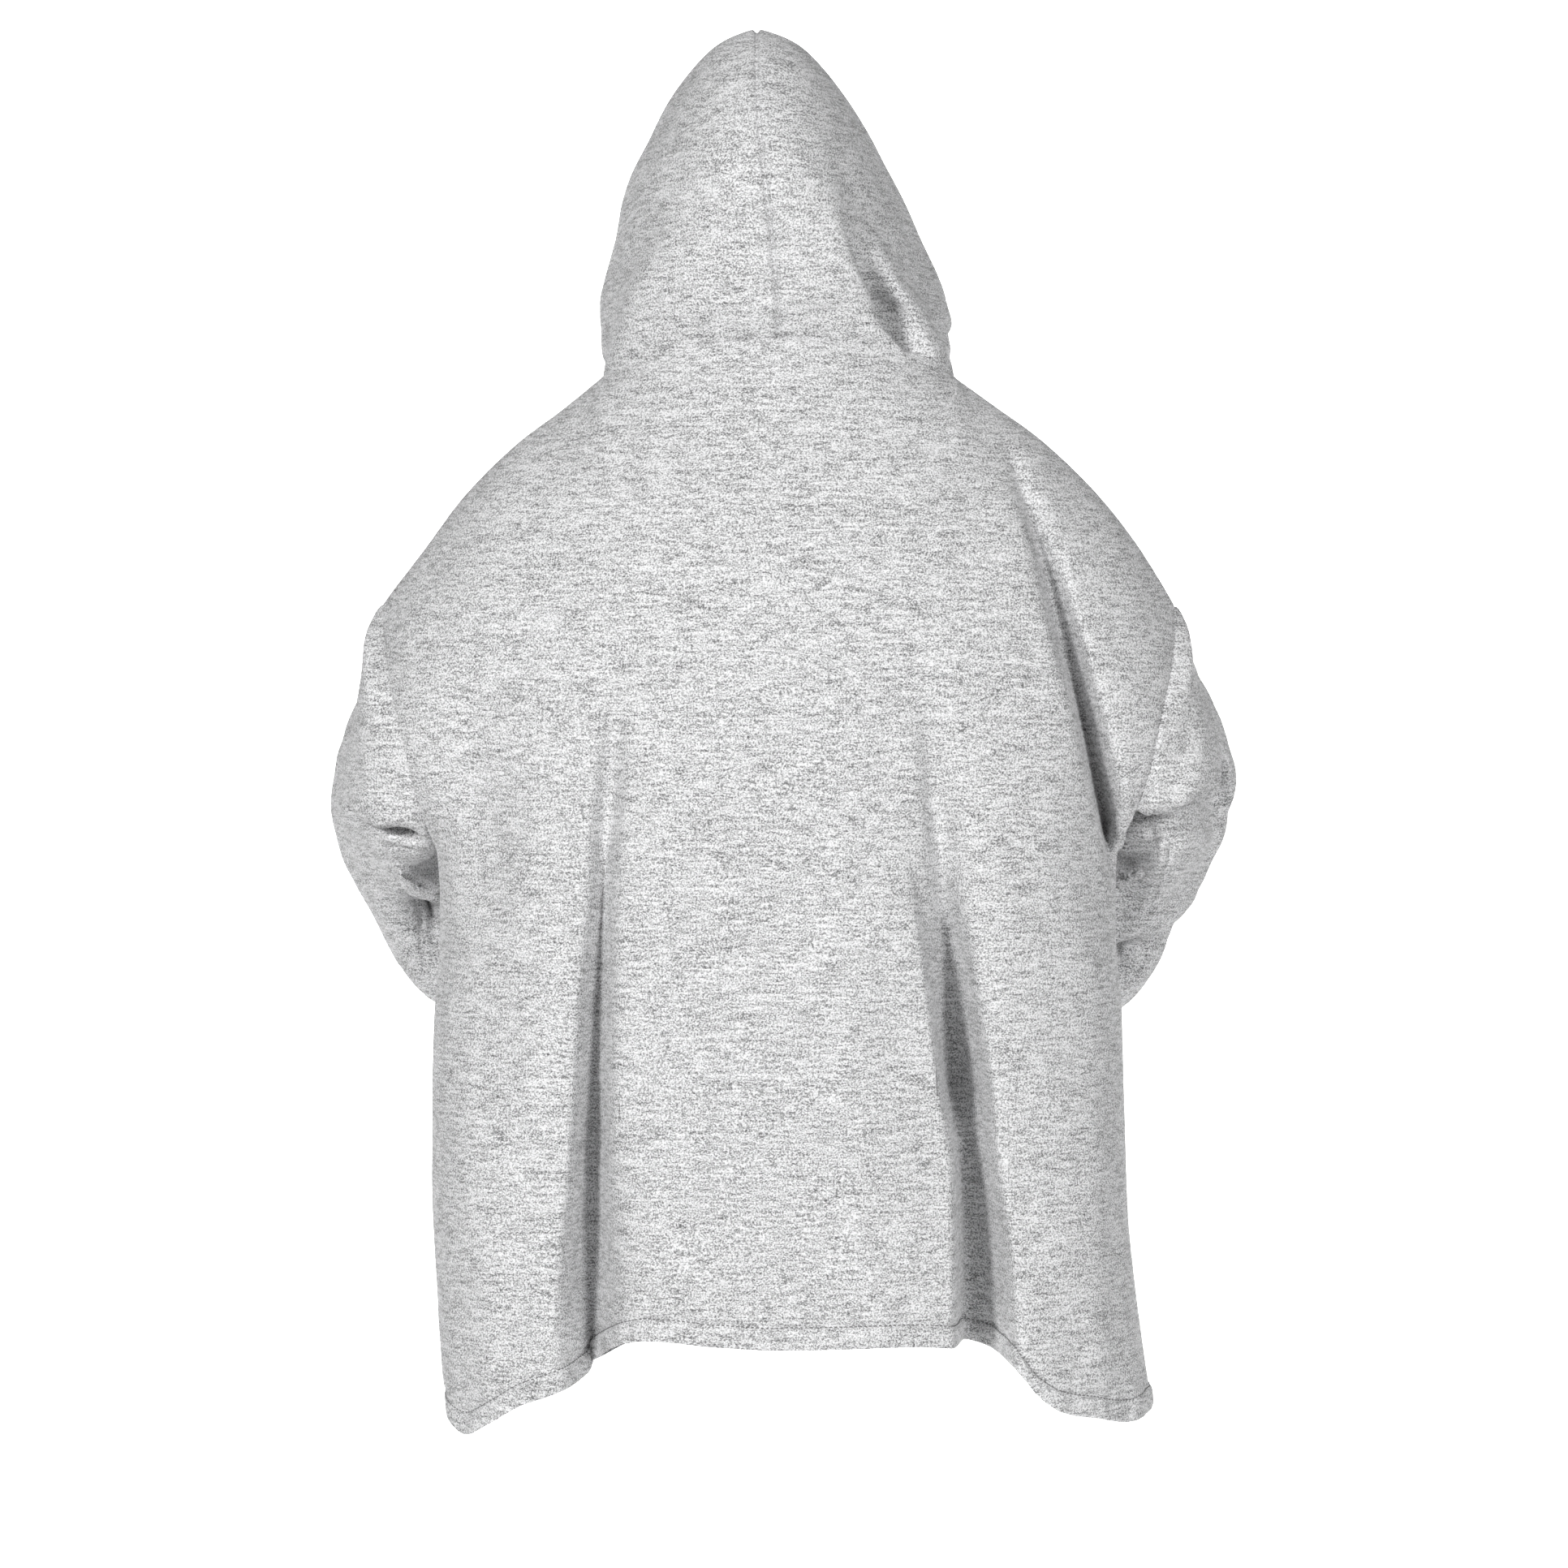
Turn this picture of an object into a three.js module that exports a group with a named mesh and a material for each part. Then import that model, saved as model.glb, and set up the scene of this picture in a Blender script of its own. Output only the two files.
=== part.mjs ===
// Wearable blanket hoodie, worn with the hood up and both arms bent forward.
// Millimetres, +Z up. The back faces -Y, and the origin is the centre of the neck
// on the line of the shoulders. Left and right are those of someone who looks at
// the garment's back, so the right side lies at +X.

import * as THREE from 'three';

// Cloth
const CLOTH_THICKNESS = 3;
const SEAM_GAP = 0.3;
const CLOTH_COLOUR = 0xc9c9cb;
const CLOTH_ROUGHNESS = 0.95;

// Neck opening, an oval that is low in front
const NECK = { halfWidth: 140, backDepth: 76, frontDepth: 86, backRise: 24, frontDrop: 36, z: -10 };
const NECK_SPREAD = { drop: 90, widening: 0.7, power: 2 };
const NECK_WALL_SLOPE = 0.6;

// Drop shoulder: where the shoulder seam ends and the armhole begins
const DROP_X = 315;
const DROP_Z = -190;
const SHOULDER_LINE = [
  { x: 140, left: -10, right: -10 },
  { x: 172, left: -36, right: -33 },
  { x: 209, left: -64, right: -60 },
  { x: 250, left: -105, right: -99 },
  { x: 283, left: -149, right: -140 },
  { x: 315, left: -190, right: -190 },
];
const SHOULDER_ROUNDING = 235;

// Half width of the body along its side edges, armhole first and side seam below
const SIDE_LINE = [
  { z: -190, left: 315, right: 315 },
  { z: -239, left: 308, right: 309 },
  { z: -277, left: 299, right: 300 },
  { z: -323, left: 288, right: 290 },
  { z: -358, left: 279, right: 279 },
  { z: -390, left: 270, right: 268 },
  { z: -450, left: 268, right: 266 },
  { z: -510, left: 272, right: 272 },
  { z: -600, left: 274, right: 275 },
  { z: -680, left: 274, right: 278 },
  { z: -760, left: 268, right: 287 },
  { z: -845, left: 260, right: 299 },
];

// How far the cloth hangs from the middle plane, behind and in front
const DEPTH_LINE = [
  { z: 20, back: 96, front: 84 },
  { z: -60, back: 118, front: 96 },
  { z: -160, back: 138, front: 108 },
  { z: -300, back: 148, front: 112 },
  { z: -450, back: 150, front: 114 },
  { z: -600, back: 152, front: 124 },
  { z: -845, back: 160, front: 136 },
];
const BODY_ROUNDNESS = { back: 2.5, front: 2.2 };

// Armhole, from the drop point down to the underarm point
const UNDERARM_SHARE = 0.31;
const ARMHOLE_DEPTH = { back: 76, front: 92 };
const ARMHOLE_ROUNDNESS = 0.55;
const ARMHOLE_WALL_TILT = 0.5;
const FRONT_ARMHOLE_INSET = 36;
const INSET_FALLOFF = 5;

// Height of the hem along the width: the sides hang lower than the middle
const HEM_LINE = [
  { u: -1, back: -832, front: -846 },
  { u: -0.92, back: -835, front: -848 },
  { u: -0.74, back: -812, front: -840 },
  { u: -0.6, back: -796, front: -828 },
  { u: -0.5, back: -774, front: -816 },
  { u: -0.42, back: -763, front: -808 },
  { u: 0, back: -765, front: -800 },
  { u: 0.5, back: -768, front: -810 },
  { u: 0.6, back: -777, front: -818 },
  { u: 0.7, back: -798, front: -828 },
  { u: 0.82, back: -814, front: -838 },
  { u: 1, back: -830, front: -842 },
];

// Folds of the body: a trough for each row, which runs down the cloth from start
// to end, through x at its top, middle and bottom. Depth is inward, and the two
// widths are those of its left and right flanks.
const BACK_FOLDS = [
  { start: -250, end: -900, top: -134, middle: -146, bottom: -150, upper: 0, lower: 46, left: 15, right: 44 },
  { start: -170, end: -900, top: 122, middle: 134, bottom: 158, upper: 6, lower: 44, left: 34, right: 34 },
  { start: -80, end: -470, top: 204, middle: 240, bottom: 256, upper: 8, lower: 30, left: 24, right: 46 },
  { start: -150, end: -470, top: -228, middle: -238, bottom: -244, upper: 4, lower: 12, left: 40, right: 34 },
  { start: -480, end: -900, top: 12, middle: 8, bottom: 2, upper: 0, lower: 12, left: 62, right: 66 },
];
const FRONT_FOLDS = [
  { start: -200, end: -900, top: -96, middle: -122, bottom: -138, upper: 2, lower: 30, left: 34, right: 26 },
  { start: -260, end: -900, top: 84, middle: 112, bottom: 128, upper: 0, lower: 34, left: 24, right: 36 },
  { start: -120, end: -460, top: -186, middle: -204, bottom: -216, upper: 6, lower: 14, left: 26, right: 24 },
  { start: -120, end: -460, top: 180, middle: 200, bottom: 212, upper: 6, lower: 16, left: 24, right: 26 },
];
const FOLD_FADE = 60;
const EDGE_CALM = 0.2;

// Sleeve: each row is a ring, given by its points nearest to the body (inner) and
// farthest from it (outer), the height of its centre and its half height
const SLEEVE_RINGS = [
  { innerX: 256, innerY: 78, outerX: 300, outerY: -66, z: -290, half: 100 },
  { innerX: 269, innerY: 84, outerX: 318, outerY: -55, z: -302, half: 93 },
  { innerX: 275, innerY: 93, outerX: 334, outerY: -34, z: -319, half: 87 },
  { innerX: 273, innerY: 104, outerX: 349, outerY: 0, z: -342, half: 83 },
  { innerX: 269, innerY: 117, outerX: 352, outerY: 34, z: -370, half: 78 },
  { innerX: 260, innerY: 131, outerX: 346, outerY: 68, z: -402, half: 73 },
  { innerX: 243, innerY: 144, outerX: 332, outerY: 100, z: -438, half: 68 },
  { innerX: 218, innerY: 157, outerX: 316, outerY: 132, z: -474, half: 63 },
  { innerX: 196, innerY: 173, outerX: 292, outerY: 163, z: -507, half: 58 },
  { innerX: 171, innerY: 188, outerX: 263, outerY: 192, z: -533, half: 52 },
  { innerX: 145, innerY: 200, outerX: 231, outerY: 217, z: -554, half: 48 },
];
const SLEEVE_STATIONS = 20;
const SLEEVE_BLEND = 0.16;
const SLEEVE_TURN = 0.6;

// The fold at the elbow crosses the sleeve from its outer side to the underarm
const ELBOW_FOLD = { outerShare: 0.36, innerShare: 0.22, width: 0.06, bulge: 5 };
const ELBOW_SPAN = { start: 62, full: 110, fade: 190, end: 232 };
const ELBOW_DEPTH = { left: 8, right: 13 };
const SLEEVE_RIPPLES = [
  { share: 0.6, width: 0.05, depth: 6, angle: 200 },
  { share: 0.72, width: 0.045, depth: 7, angle: 150 },
  { share: 0.84, width: 0.04, depth: 5, angle: 230 },
];
const RIPPLE_SPAN = 80;

// Hood, seen from the side: the crown seam from the nape (share 0) to the top of
// the face opening (share 1), and the short front edge under the chin
const CROWN_LINE = [
  { share: 0, y: -76, z: 14 },
  { share: 0.16, y: -112, z: 66 },
  { share: 0.32, y: -122, z: 124 },
  { share: 0.48, y: -108, z: 184 },
  { share: 0.62, y: -72, z: 236 },
  { share: 0.74, y: -24, z: 264 },
  { share: 0.87, y: 42, z: 254 },
  { share: 1, y: 104, z: 214 },
];
const CHIN = { y: 86, z: -46, forward: 22, rise: 34 };

// Half width of the hood against the share of the way down from crown to chin,
// for the arches over the top of the head
const HOOD_WIDTHS = [
  { down: 0, half: 0 },
  { down: 0.03, half: 26 },
  { down: 0.07, half: 43 },
  { down: 0.16, half: 66 },
  { down: 0.28, half: 88 },
  { down: 0.41, half: 107 },
  { down: 0.54, half: 123 },
  { down: 0.65, half: 135 },
  { down: 0.77, half: 139 },
  { down: 0.87, half: 122 },
  { down: 0.95, half: 74 },
  { down: 1, half: 0 },
];
const HOOD_BLEND_END = 0.45;
const HOOD_LEAN = { x: -17, share: 0.6, from: 0.15, to: 0.95 };
const FACE_NARROWING = { left: 0.8, right: 0.97, from: 0.68 };
const FACE_FLARE = { left: 0, right: 12, from: 0.82, down: 0.74, reach: 0.2 };
const HOOD_FOLDS = [
  { start: 150, end: -50, top: 52, middle: 86, bottom: 122, upper: 4, lower: 30, left: 14, right: 30 },
  { start: 110, end: -50, top: -70, middle: -96, bottom: -118, upper: 0, lower: 8, left: 28, right: 24 },
];
const HOOD_CALM = { neck: 0.14, front: 50 };

// Number of facets
const BACK_NECK_COLUMNS = 14;
const BACK_SHOULDER_COLUMNS = 14;
const FRONT_NECK_COLUMNS = 10;
const FRONT_SHOULDER_COLUMNS = 10;
const ARMHOLE_ROWS = 8;
const BACK_SKIRT_ROWS = 14;
const FRONT_SKIRT_ROWS = 10;
const TOP_ROW_CROWDING = 1.35;
const HOOD_ARCHES = 13;

const SIDES = { left: -1, right: 1 };
const FACES = { back: -1, front: 1 };

const lerp = THREE.MathUtils.lerp;
const clamp = THREE.MathUtils.clamp;
const smoothstep = THREE.MathUtils.smoothstep;
const radians = THREE.MathUtils.degToRad;

// Value of one column of a table at a place along its key, on a smooth curve
function tableValue(rows, key, place, column) {
  const rising = rows[rows.length - 1][key] > rows[0][key];
  let index = 0;
  while (index < rows.length - 2 && (place > rows[index + 1][key]) === rising
    && place !== rows[index + 1][key]) {
    index += 1;
  }
  const [here, next] = [rows[index], rows[index + 1]];
  const [before, after] = [rows[Math.max(index - 1, 0)], rows[Math.min(index + 2, rows.length - 1)]];
  const length = next[key] - here[key];
  const share = clamp((place - here[key]) / length, 0, 1);
  const startSlope = (next[column] - before[column]) / (next[key] - before[key]) * length;
  const endSlope = (after[column] - here[column]) / (after[key] - here[key]) * length;
  const [square, cube] = [share * share, share * share * share];
  return here[column] * (2 * cube - 3 * square + 1)
    + next[column] * (3 * square - 2 * cube)
    + startSlope * (cube - 2 * square + share)
    + endSlope * (cube - square);
}

// One smooth bump of height 1, with a flank width on each side
function bump(offset, leftWidth, rightWidth) {
  const width = offset < 0 ? leftWidth : rightWidth;
  return Math.exp(-((offset / width) ** 2));
}

// Top edge of a panel at width share u: the shoulder seam, or the neck within it
function topEdge(face, u) {
  const x = u * DROP_X;
  if (Math.abs(x) >= NECK.halfWidth) {
    return { x, y: 0, z: tableValue(SHOULDER_LINE, 'x', Math.abs(x), u < 0 ? 'left' : 'right') };
  }
  const inside = 1 - (x / NECK.halfWidth) ** 2;
  if (face === 'back') {
    return { x, y: NECK.backDepth * Math.sqrt(inside), z: NECK.z + NECK.backRise * inside };
  }
  return { x, y: NECK.frontDepth * Math.sqrt(inside), z: NECK.z - NECK.frontDrop * inside };
}

// Depth that the neck opening gives to the cloth below it: the oval itself at the
// seam, and a wider and smoother swell farther down
function neckSwell(face, x, drop) {
  const share = clamp(drop / NECK_SPREAD.drop, 0, 1);
  const halfWidth = NECK.halfWidth + NECK_SPREAD.widening * Math.min(drop, NECK_SPREAD.drop);
  const inside = Math.max(1 - (x / halfWidth) ** 2, 0);
  const depth = face === 'back' ? NECK.backDepth : NECK.frontDepth;
  return depth * inside ** lerp(0.5, NECK_SPREAD.power, share);
}

// Inward depth of all folds of a face at one place
function foldDepth(folds, x, z) {
  let depth = 0;
  for (const fold of folds) {
    const share = clamp((fold.start - z) / (fold.start - fold.end), 0, 1);
    const centre = fold.top * (1 - share) * (1 - 2 * share)
      + fold.middle * 4 * share * (1 - share)
      + fold.bottom * share * (2 * share - 1);
    const strength = lerp(fold.upper, fold.lower, Math.sin(share * Math.PI / 2));
    const fadeIn = smoothstep(fold.start - z, -FOLD_FADE, FOLD_FADE);
    const fadeOut = smoothstep(z - fold.end, 0, FOLD_FADE);
    depth += strength * fadeIn * fadeOut * bump(x - centre, fold.left, fold.right);
  }
  return depth;
}

// A point of the body: u from -1 at the left edge to 1 at the right edge, and v
// from 0 at the shoulder to 1 at the hem
function bodyPoint(face, u, v) {
  const side = u < 0 ? 'left' : 'right';
  const top = topEdge(face, u);
  const z = lerp(top.z, tableValue(HEM_LINE, 'u', u, face), v);
  const edgeZ = lerp(DROP_Z, tableValue(HEM_LINE, 'u', Math.sign(u) || 1, face), v);
  const armShare = clamp(v / UNDERARM_SHARE, 0, 1);
  const opening = Math.sin(armShare * Math.PI);
  let x = u * tableValue(SIDE_LINE, 'z', edgeZ, side);
  if (face === 'front') {
    x -= SIDES[side] * FRONT_ARMHOLE_INSET * opening * Math.abs(u) ** INSET_FALLOFF;
  }
  const reach = tableValue(DEPTH_LINE, 'z', z, face);
  const armDepth = armShare < 1 ? ARMHOLE_DEPTH[face] * opening ** ARMHOLE_ROUNDNESS : 0;
  const power = BODY_ROUNDNESS[face];
  const edgePart = (armDepth / reach) ** power;
  const spread = (edgePart + (1 - edgePart) * (1 - Math.abs(u) ** power)) ** (1 / power);
  const fallen = clamp((top.z - z) / SHOULDER_ROUNDING, 0, 1);
  const rise = Math.sqrt(1 - (1 - fallen) ** 2);
  const folds = face === 'back' ? BACK_FOLDS : FRONT_FOLDS;
  const calm = smoothstep(1 - Math.abs(u), 0, EDGE_CALM) * rise;
  const swell = neckSwell(face, u * DROP_X, top.z - z);
  const y = swell + (reach * spread - swell) * rise - foldDepth(folds, x, z) * calm;
  return new THREE.Vector3(x, FACES[face] * y, z);
}

// Width shares of the columns of a panel: even angles round the neck, then along
// each shoulder, closest together at its two ends
function panelColumns(neckCount, shoulderCount) {
  const neckShare = NECK.halfWidth / DROP_X;
  const outer = [];
  for (let k = 1; k <= shoulderCount; k += 1) {
    const eased = (1 - Math.cos(Math.PI * k / shoulderCount)) / 2;
    outer.push(lerp(neckShare, 1, eased));
  }
  const columns = outer.map((u) => -u).reverse();
  for (let k = 0; k <= neckCount; k += 1) {
    columns.push(neckShare * Math.sin(Math.PI * (k / neckCount - 0.5)));
  }
  return columns.concat(outer);
}

// Height shares of the rows: crowded towards the shoulder, one at the underarm
function panelRows(skirtCount) {
  const rows = [];
  for (let k = 0; k <= ARMHOLE_ROWS; k += 1) {
    rows.push(UNDERARM_SHARE * (k / ARMHOLE_ROWS) ** TOP_ROW_CROWDING);
  }
  for (let k = 1; k <= skirtCount; k += 1) {
    rows.push(lerp(UNDERARM_SHARE, 1, k / skirtCount));
  }
  return rows;
}

// Directions through the cloth, shared by both pieces at a seam
function neckDirection(point) {
  const flat = Math.hypot(point.x, point.y);
  return new THREE.Vector3(-point.x / flat, -point.y / flat, -NECK_WALL_SLOPE).normalize();
}

function armholeDirection(side, point) {
  const middle = tableValue(SIDE_LINE, 'z', SLEEVE_RINGS[0].z, side);
  const centre = new THREE.Vector3(SIDES[side] * middle, 0, SLEEVE_RINGS[0].z);
  const across = centre.sub(point);
  across.x *= ARMHOLE_WALL_TILT;
  return across.normalize();
}

function withoutAxis(direction, axis) {
  return direction.clone().setComponent(axis, 0).normalize();
}

// Inward directions of a grid of outer points, from the slopes of its surface
function gridDirections(grid, closed, turn) {
  const rowCount = grid.length;
  const columnCount = grid[0].length;
  return grid.map((row, i) => row.map((point, j) => {
    const above = grid[Math.max(i - 1, 0)][j];
    const below = grid[Math.min(i + 1, rowCount - 1)][j];
    const before = closed ? row[(j + columnCount - 1) % columnCount] : row[Math.max(j - 1, 0)];
    const after = closed ? row[(j + 1) % columnCount] : row[Math.min(j + 1, columnCount - 1)];
    const down = below.clone().sub(above);
    const across = after.clone().sub(before);
    return down.cross(across).multiplyScalar(turn).normalize();
  }));
}

// Moves the chosen edges of a grid back from their seams
function pullBack(grid, edges) {
  const shift = (point, neighbour) => {
    const step = neighbour.clone().sub(point).setLength(SEAM_GAP / 2);
    return point.clone().add(step);
  };
  const last = grid.length - 1;
  let moved = grid;
  if (edges.first) {
    moved = [grid[0].map((point, j) => shift(point, grid[1][j])), ...moved.slice(1)];
  }
  if (edges.last) {
    moved = [...moved.slice(0, last), grid[last].map((point, j) => shift(point, grid[last - 1][j]))];
  }
  if (edges.sides) {
    moved = moved.map((row) => {
      const end = row.length - 1;
      return [shift(row[0], row[1]), ...row.slice(1, end), shift(row[end], row[end - 1])];
    });
  }
  return moved;
}

// A wall of cloth as one closed mesh: the outer grid, the same grid moved inward,
// and a band of faces round each free edge
function clothWall(name, outer, directions, closed, turn) {
  const rowCount = outer.length;
  const columnCount = outer[0].length;
  const layer = rowCount * columnCount;
  const positions = [];
  for (const row of outer) {
    for (const point of row) {
      positions.push(point.x, point.y, point.z);
    }
  }
  outer.forEach((row, i) => row.forEach((point, j) => {
    const inner = point.clone().addScaledVector(directions[i][j], CLOTH_THICKNESS);
    positions.push(inner.x, inner.y, inner.z);
  }));
  const indices = [];
  const quad = (a, b, c, d) => {
    if (turn > 0) {
      indices.push(a, b, c, a, c, d);
    } else {
      indices.push(a, c, b, a, d, c);
    }
  };
  const place = (i, j) => i * columnCount + (j % columnCount);
  const spans = closed ? columnCount : columnCount - 1;
  for (let i = 0; i < rowCount - 1; i += 1) {
    for (let j = 0; j < spans; j += 1) {
      const [a, b, c, d] = [place(i, j), place(i, j + 1), place(i + 1, j + 1), place(i + 1, j)];
      quad(a, b, c, d);
      quad(d + layer, c + layer, b + layer, a + layer);
    }
  }
  for (let j = 0; j < spans; j += 1) {
    const [a, b] = [place(0, j), place(0, j + 1)];
    const [c, d] = [place(rowCount - 1, j), place(rowCount - 1, j + 1)];
    quad(a + layer, b + layer, b, a);
    quad(c, d, d + layer, c + layer);
  }
  if (!closed) {
    for (let i = 0; i < rowCount - 1; i += 1) {
      const [a, b] = [place(i, 0), place(i + 1, 0)];
      const [c, d] = [place(i, columnCount - 1), place(i + 1, columnCount - 1)];
      quad(a, b, b + layer, a + layer);
      quad(c + layer, d + layer, d, c);
    }
  }
  const geometry = new THREE.BufferGeometry();
  geometry.setAttribute('position', new THREE.Float32BufferAttribute(positions, 3));
  geometry.setIndex(indices);
  geometry.computeVertexNormals();
  const material = new THREE.MeshStandardMaterial({ color: CLOTH_COLOUR, roughness: CLOTH_ROUGHNESS });
  material.name = 'heather_fleece';
  const mesh = new THREE.Mesh(geometry, material);
  mesh.name = name;
  return mesh;
}

// Front or back panel
function panel(face, columns, rows) {
  const turn = -FACES[face];
  const grid = rows.map((v) => columns.map((u) => bodyPoint(face, u, v)));
  const directions = gridDirections(grid, false, turn);
  const last = columns.length - 1;
  rows.forEach((v, i) => {
    for (const [j, side] of [[0, 'left'], [last, 'right']]) {
      directions[i][j] = i > 0 && i <= ARMHOLE_ROWS
        ? armholeDirection(side, grid[i][j])
        : withoutAxis(directions[i][j], 1);
    }
  });
  columns.forEach((u, j) => {
    const onNeck = Math.abs(u) * DROP_X <= NECK.halfWidth + SEAM_GAP;
    directions[0][j] = onNeck ? neckDirection(grid[0][j]) : withoutAxis(directions[0][j], 1);
  });
  directions[0][0] = armholeDirection('left', grid[0][0]);
  directions[0][last] = armholeDirection('right', grid[0][last]);
  const apart = pullBack(grid, { first: true, sides: true });
  return clothWall(`${face}_panel`, apart, directions, false, turn);
}

// Armhole seam as a closed loop from the drop point down the back and up the front
function armholeLoop(side, rows) {
  const u = SIDES[side];
  const back = rows.slice(0, ARMHOLE_ROWS + 1).map((v) => bodyPoint('back', u, v));
  const front = rows.slice(1, ARMHOLE_ROWS).map((v) => bodyPoint('front', u, v)).reverse();
  return back.concat(front);
}

// Centre, half axes and their directions of the sleeve at a share of its length
function sleeveRing(side, share) {
  const rings = SLEEVE_RINGS.map((ring, index) => ({ ...ring, share: index / (SLEEVE_RINGS.length - 1) }));
  const value = (column) => tableValue(rings, 'share', share, column);
  const inner = new THREE.Vector3(SIDES[side] * value('innerX'), value('innerY'), value('z'));
  const outer = new THREE.Vector3(SIDES[side] * value('outerX'), value('outerY'), value('z'));
  const centre = inner.clone().lerp(outer, 0.5);
  const outward = outer.sub(inner).multiplyScalar(0.5);
  return { centre, outward, half: value('half') };
}

// Inward depth of the elbow fold and the ripples of the forearm. The angle is 0 on
// top, 90 on the outer side and 180 along the underarm seam.
function sleeveFolds(side, share, angle) {
  const fold = ELBOW_FOLD;
  const line = lerp(fold.outerShare, fold.innerShare, clamp((angle - 90) / 90, -0.5, 1.2));
  const span = smoothstep(angle, ELBOW_SPAN.start, ELBOW_SPAN.full)
    * (1 - smoothstep(angle, ELBOW_SPAN.fade, ELBOW_SPAN.end));
  const groove = ELBOW_DEPTH[side] * bump(share - line, fold.width / 2, fold.width);
  const roll = fold.bulge * bump(share - line + fold.width, fold.width, fold.width / 2);
  let depth = (groove - roll) * span;
  for (const ripple of SLEEVE_RIPPLES) {
    const across = bump(angle - ripple.angle, RIPPLE_SPAN, RIPPLE_SPAN);
    depth += ripple.depth * across * bump(share - ripple.share, ripple.width, ripple.width);
  }
  return depth;
}

function sleeve(side, rows) {
  const loop = armholeLoop(side, rows);
  const count = loop.length;
  const step = 1 / (SLEEVE_STATIONS * 100);
  const grid = [];
  for (let station = 0; station <= SLEEVE_STATIONS; station += 1) {
    const share = station / SLEEVE_STATIONS;
    const ring = sleeveRing(side, share);
    const ahead = sleeveRing(side, Math.min(share + step, 1)).centre;
    const behind = sleeveRing(side, Math.max(share - step, 0)).centre;
    const along = ahead.sub(behind).normalize();
    const outward = ring.outward.clone().normalize();
    const across = along.clone().cross(outward).multiplyScalar(-SIDES[side]).normalize();
    const up = new THREE.Vector3(0, 0, 1).lerp(across, smoothstep(share, 0, SLEEVE_TURN)).normalize();
    const blend = smoothstep(share, 0, SLEEVE_BLEND);
    grid.push(loop.map((seamPoint, k) => {
      const angle = 360 * k / count;
      const depth = sleeveFolds(side, share, angle) * blend;
      const sideways = (ring.outward.length() - depth) * Math.sin(radians(angle));
      const upward = (ring.half - depth) * Math.cos(radians(angle));
      const point = ring.centre.clone().addScaledVector(outward, sideways).addScaledVector(up, upward);
      const moved = seamPoint.clone().add(ring.centre).sub(sleeveRing(side, 0).centre);
      return moved.lerp(point, blend);
    }));
  }
  const turn = -SIDES[side];
  const directions = gridDirections(grid, true, turn);
  directions[0] = loop.map((point) => armholeDirection(side, point));
  return clothWall(`sleeve_${side}`, pullBack(grid, { first: true }), directions, true, turn);
}

// A point of the hood: share runs from the neck seam to the face opening, and turn
// from 0 at the crown seam to 180 under the chin
function hoodPoint(side, share, angle) {
  const down = (1 - Math.cos(radians(angle))) / 2;
  const crown = {
    y: tableValue(CROWN_LINE, 'share', share, 'y'),
    z: tableValue(CROWN_LINE, 'share', share, 'z'),
  };
  const chin = { y: CHIN.y + CHIN.forward * share, z: CHIN.z + CHIN.rise * share };
  const arch = tableValue(HOOD_WIDTHS, 'down', down, 'half');
  const oval = NECK.halfWidth * Math.sin(radians(angle));
  let half = lerp(oval, arch, smoothstep(share, 0, HOOD_BLEND_END));
  half *= lerp(1, FACE_NARROWING[side], smoothstep(share, FACE_NARROWING.from, 1));
  const flare = FACE_FLARE[side] * smoothstep(share, FACE_FLARE.from, 1);
  half += flare * bump(down - FACE_FLARE.down, FACE_FLARE.reach, FACE_FLARE.reach) * Math.sin(radians(angle));
  const lean = HOOD_LEAN.x * smoothstep(share, 0, HOOD_LEAN.share)
    * (1 - smoothstep(down, HOOD_LEAN.from, HOOD_LEAN.to));
  const x = SIDES[side] * half + lean;
  const y = lerp(crown.y, chin.y, down);
  const z = lerp(crown.z, chin.z, down);
  const behind = 1 - smoothstep(y, -HOOD_CALM.front, HOOD_CALM.front);
  const calm = smoothstep(share, 0, HOOD_CALM.neck) * behind;
  return new THREE.Vector3(x, y + foldDepth(HOOD_FOLDS, x, z) * calm, z);
}

// The neck seam of one half of the hood, on the panels' own neck points
function neckSeam(side, backColumns, frontColumns) {
  const onNeck = (u) => u * SIDES[side] >= 0 && Math.abs(u) * DROP_X <= NECK.halfWidth + SEAM_GAP;
  const byWidth = (a, b) => Math.abs(a) - Math.abs(b);
  const back = backColumns.filter(onNeck).sort(byWidth).map((u) => bodyPoint('back', u, 0));
  const front = frontColumns.filter(onNeck).sort(byWidth).map((u) => bodyPoint('front', u, 0));
  return back.concat(front.slice(0, -1).reverse());
}

function hoodHalf(side, backColumns, frontColumns) {
  const seam = neckSeam(side, backColumns, frontColumns);
  const last = seam.length - 1;
  const angles = seam.map((point) => {
    const depth = point.y < 0 ? NECK.backDepth : NECK.frontDepth;
    const [height, width] = [-point.y / depth, Math.abs(point.x) / NECK.halfWidth];
    return THREE.MathUtils.radToDeg(Math.atan2(width, height));
  });
  const grid = [seam];
  for (let arch = 1; arch <= HOOD_ARCHES; arch += 1) {
    grid.push(angles.map((angle) => hoodPoint(side, arch / HOOD_ARCHES, angle)));
  }
  const turn = SIDES[side];
  const directions = gridDirections(grid, false, turn);
  directions.forEach((row) => {
    row[0] = withoutAxis(row[0], 0);
    row[last] = withoutAxis(row[last], 0);
  });
  directions[0] = seam.map(neckDirection);
  const apart = pullBack(grid, { first: true, sides: true });
  return clothWall(`hood_${side}`, apart, directions, false, turn);
}

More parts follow.
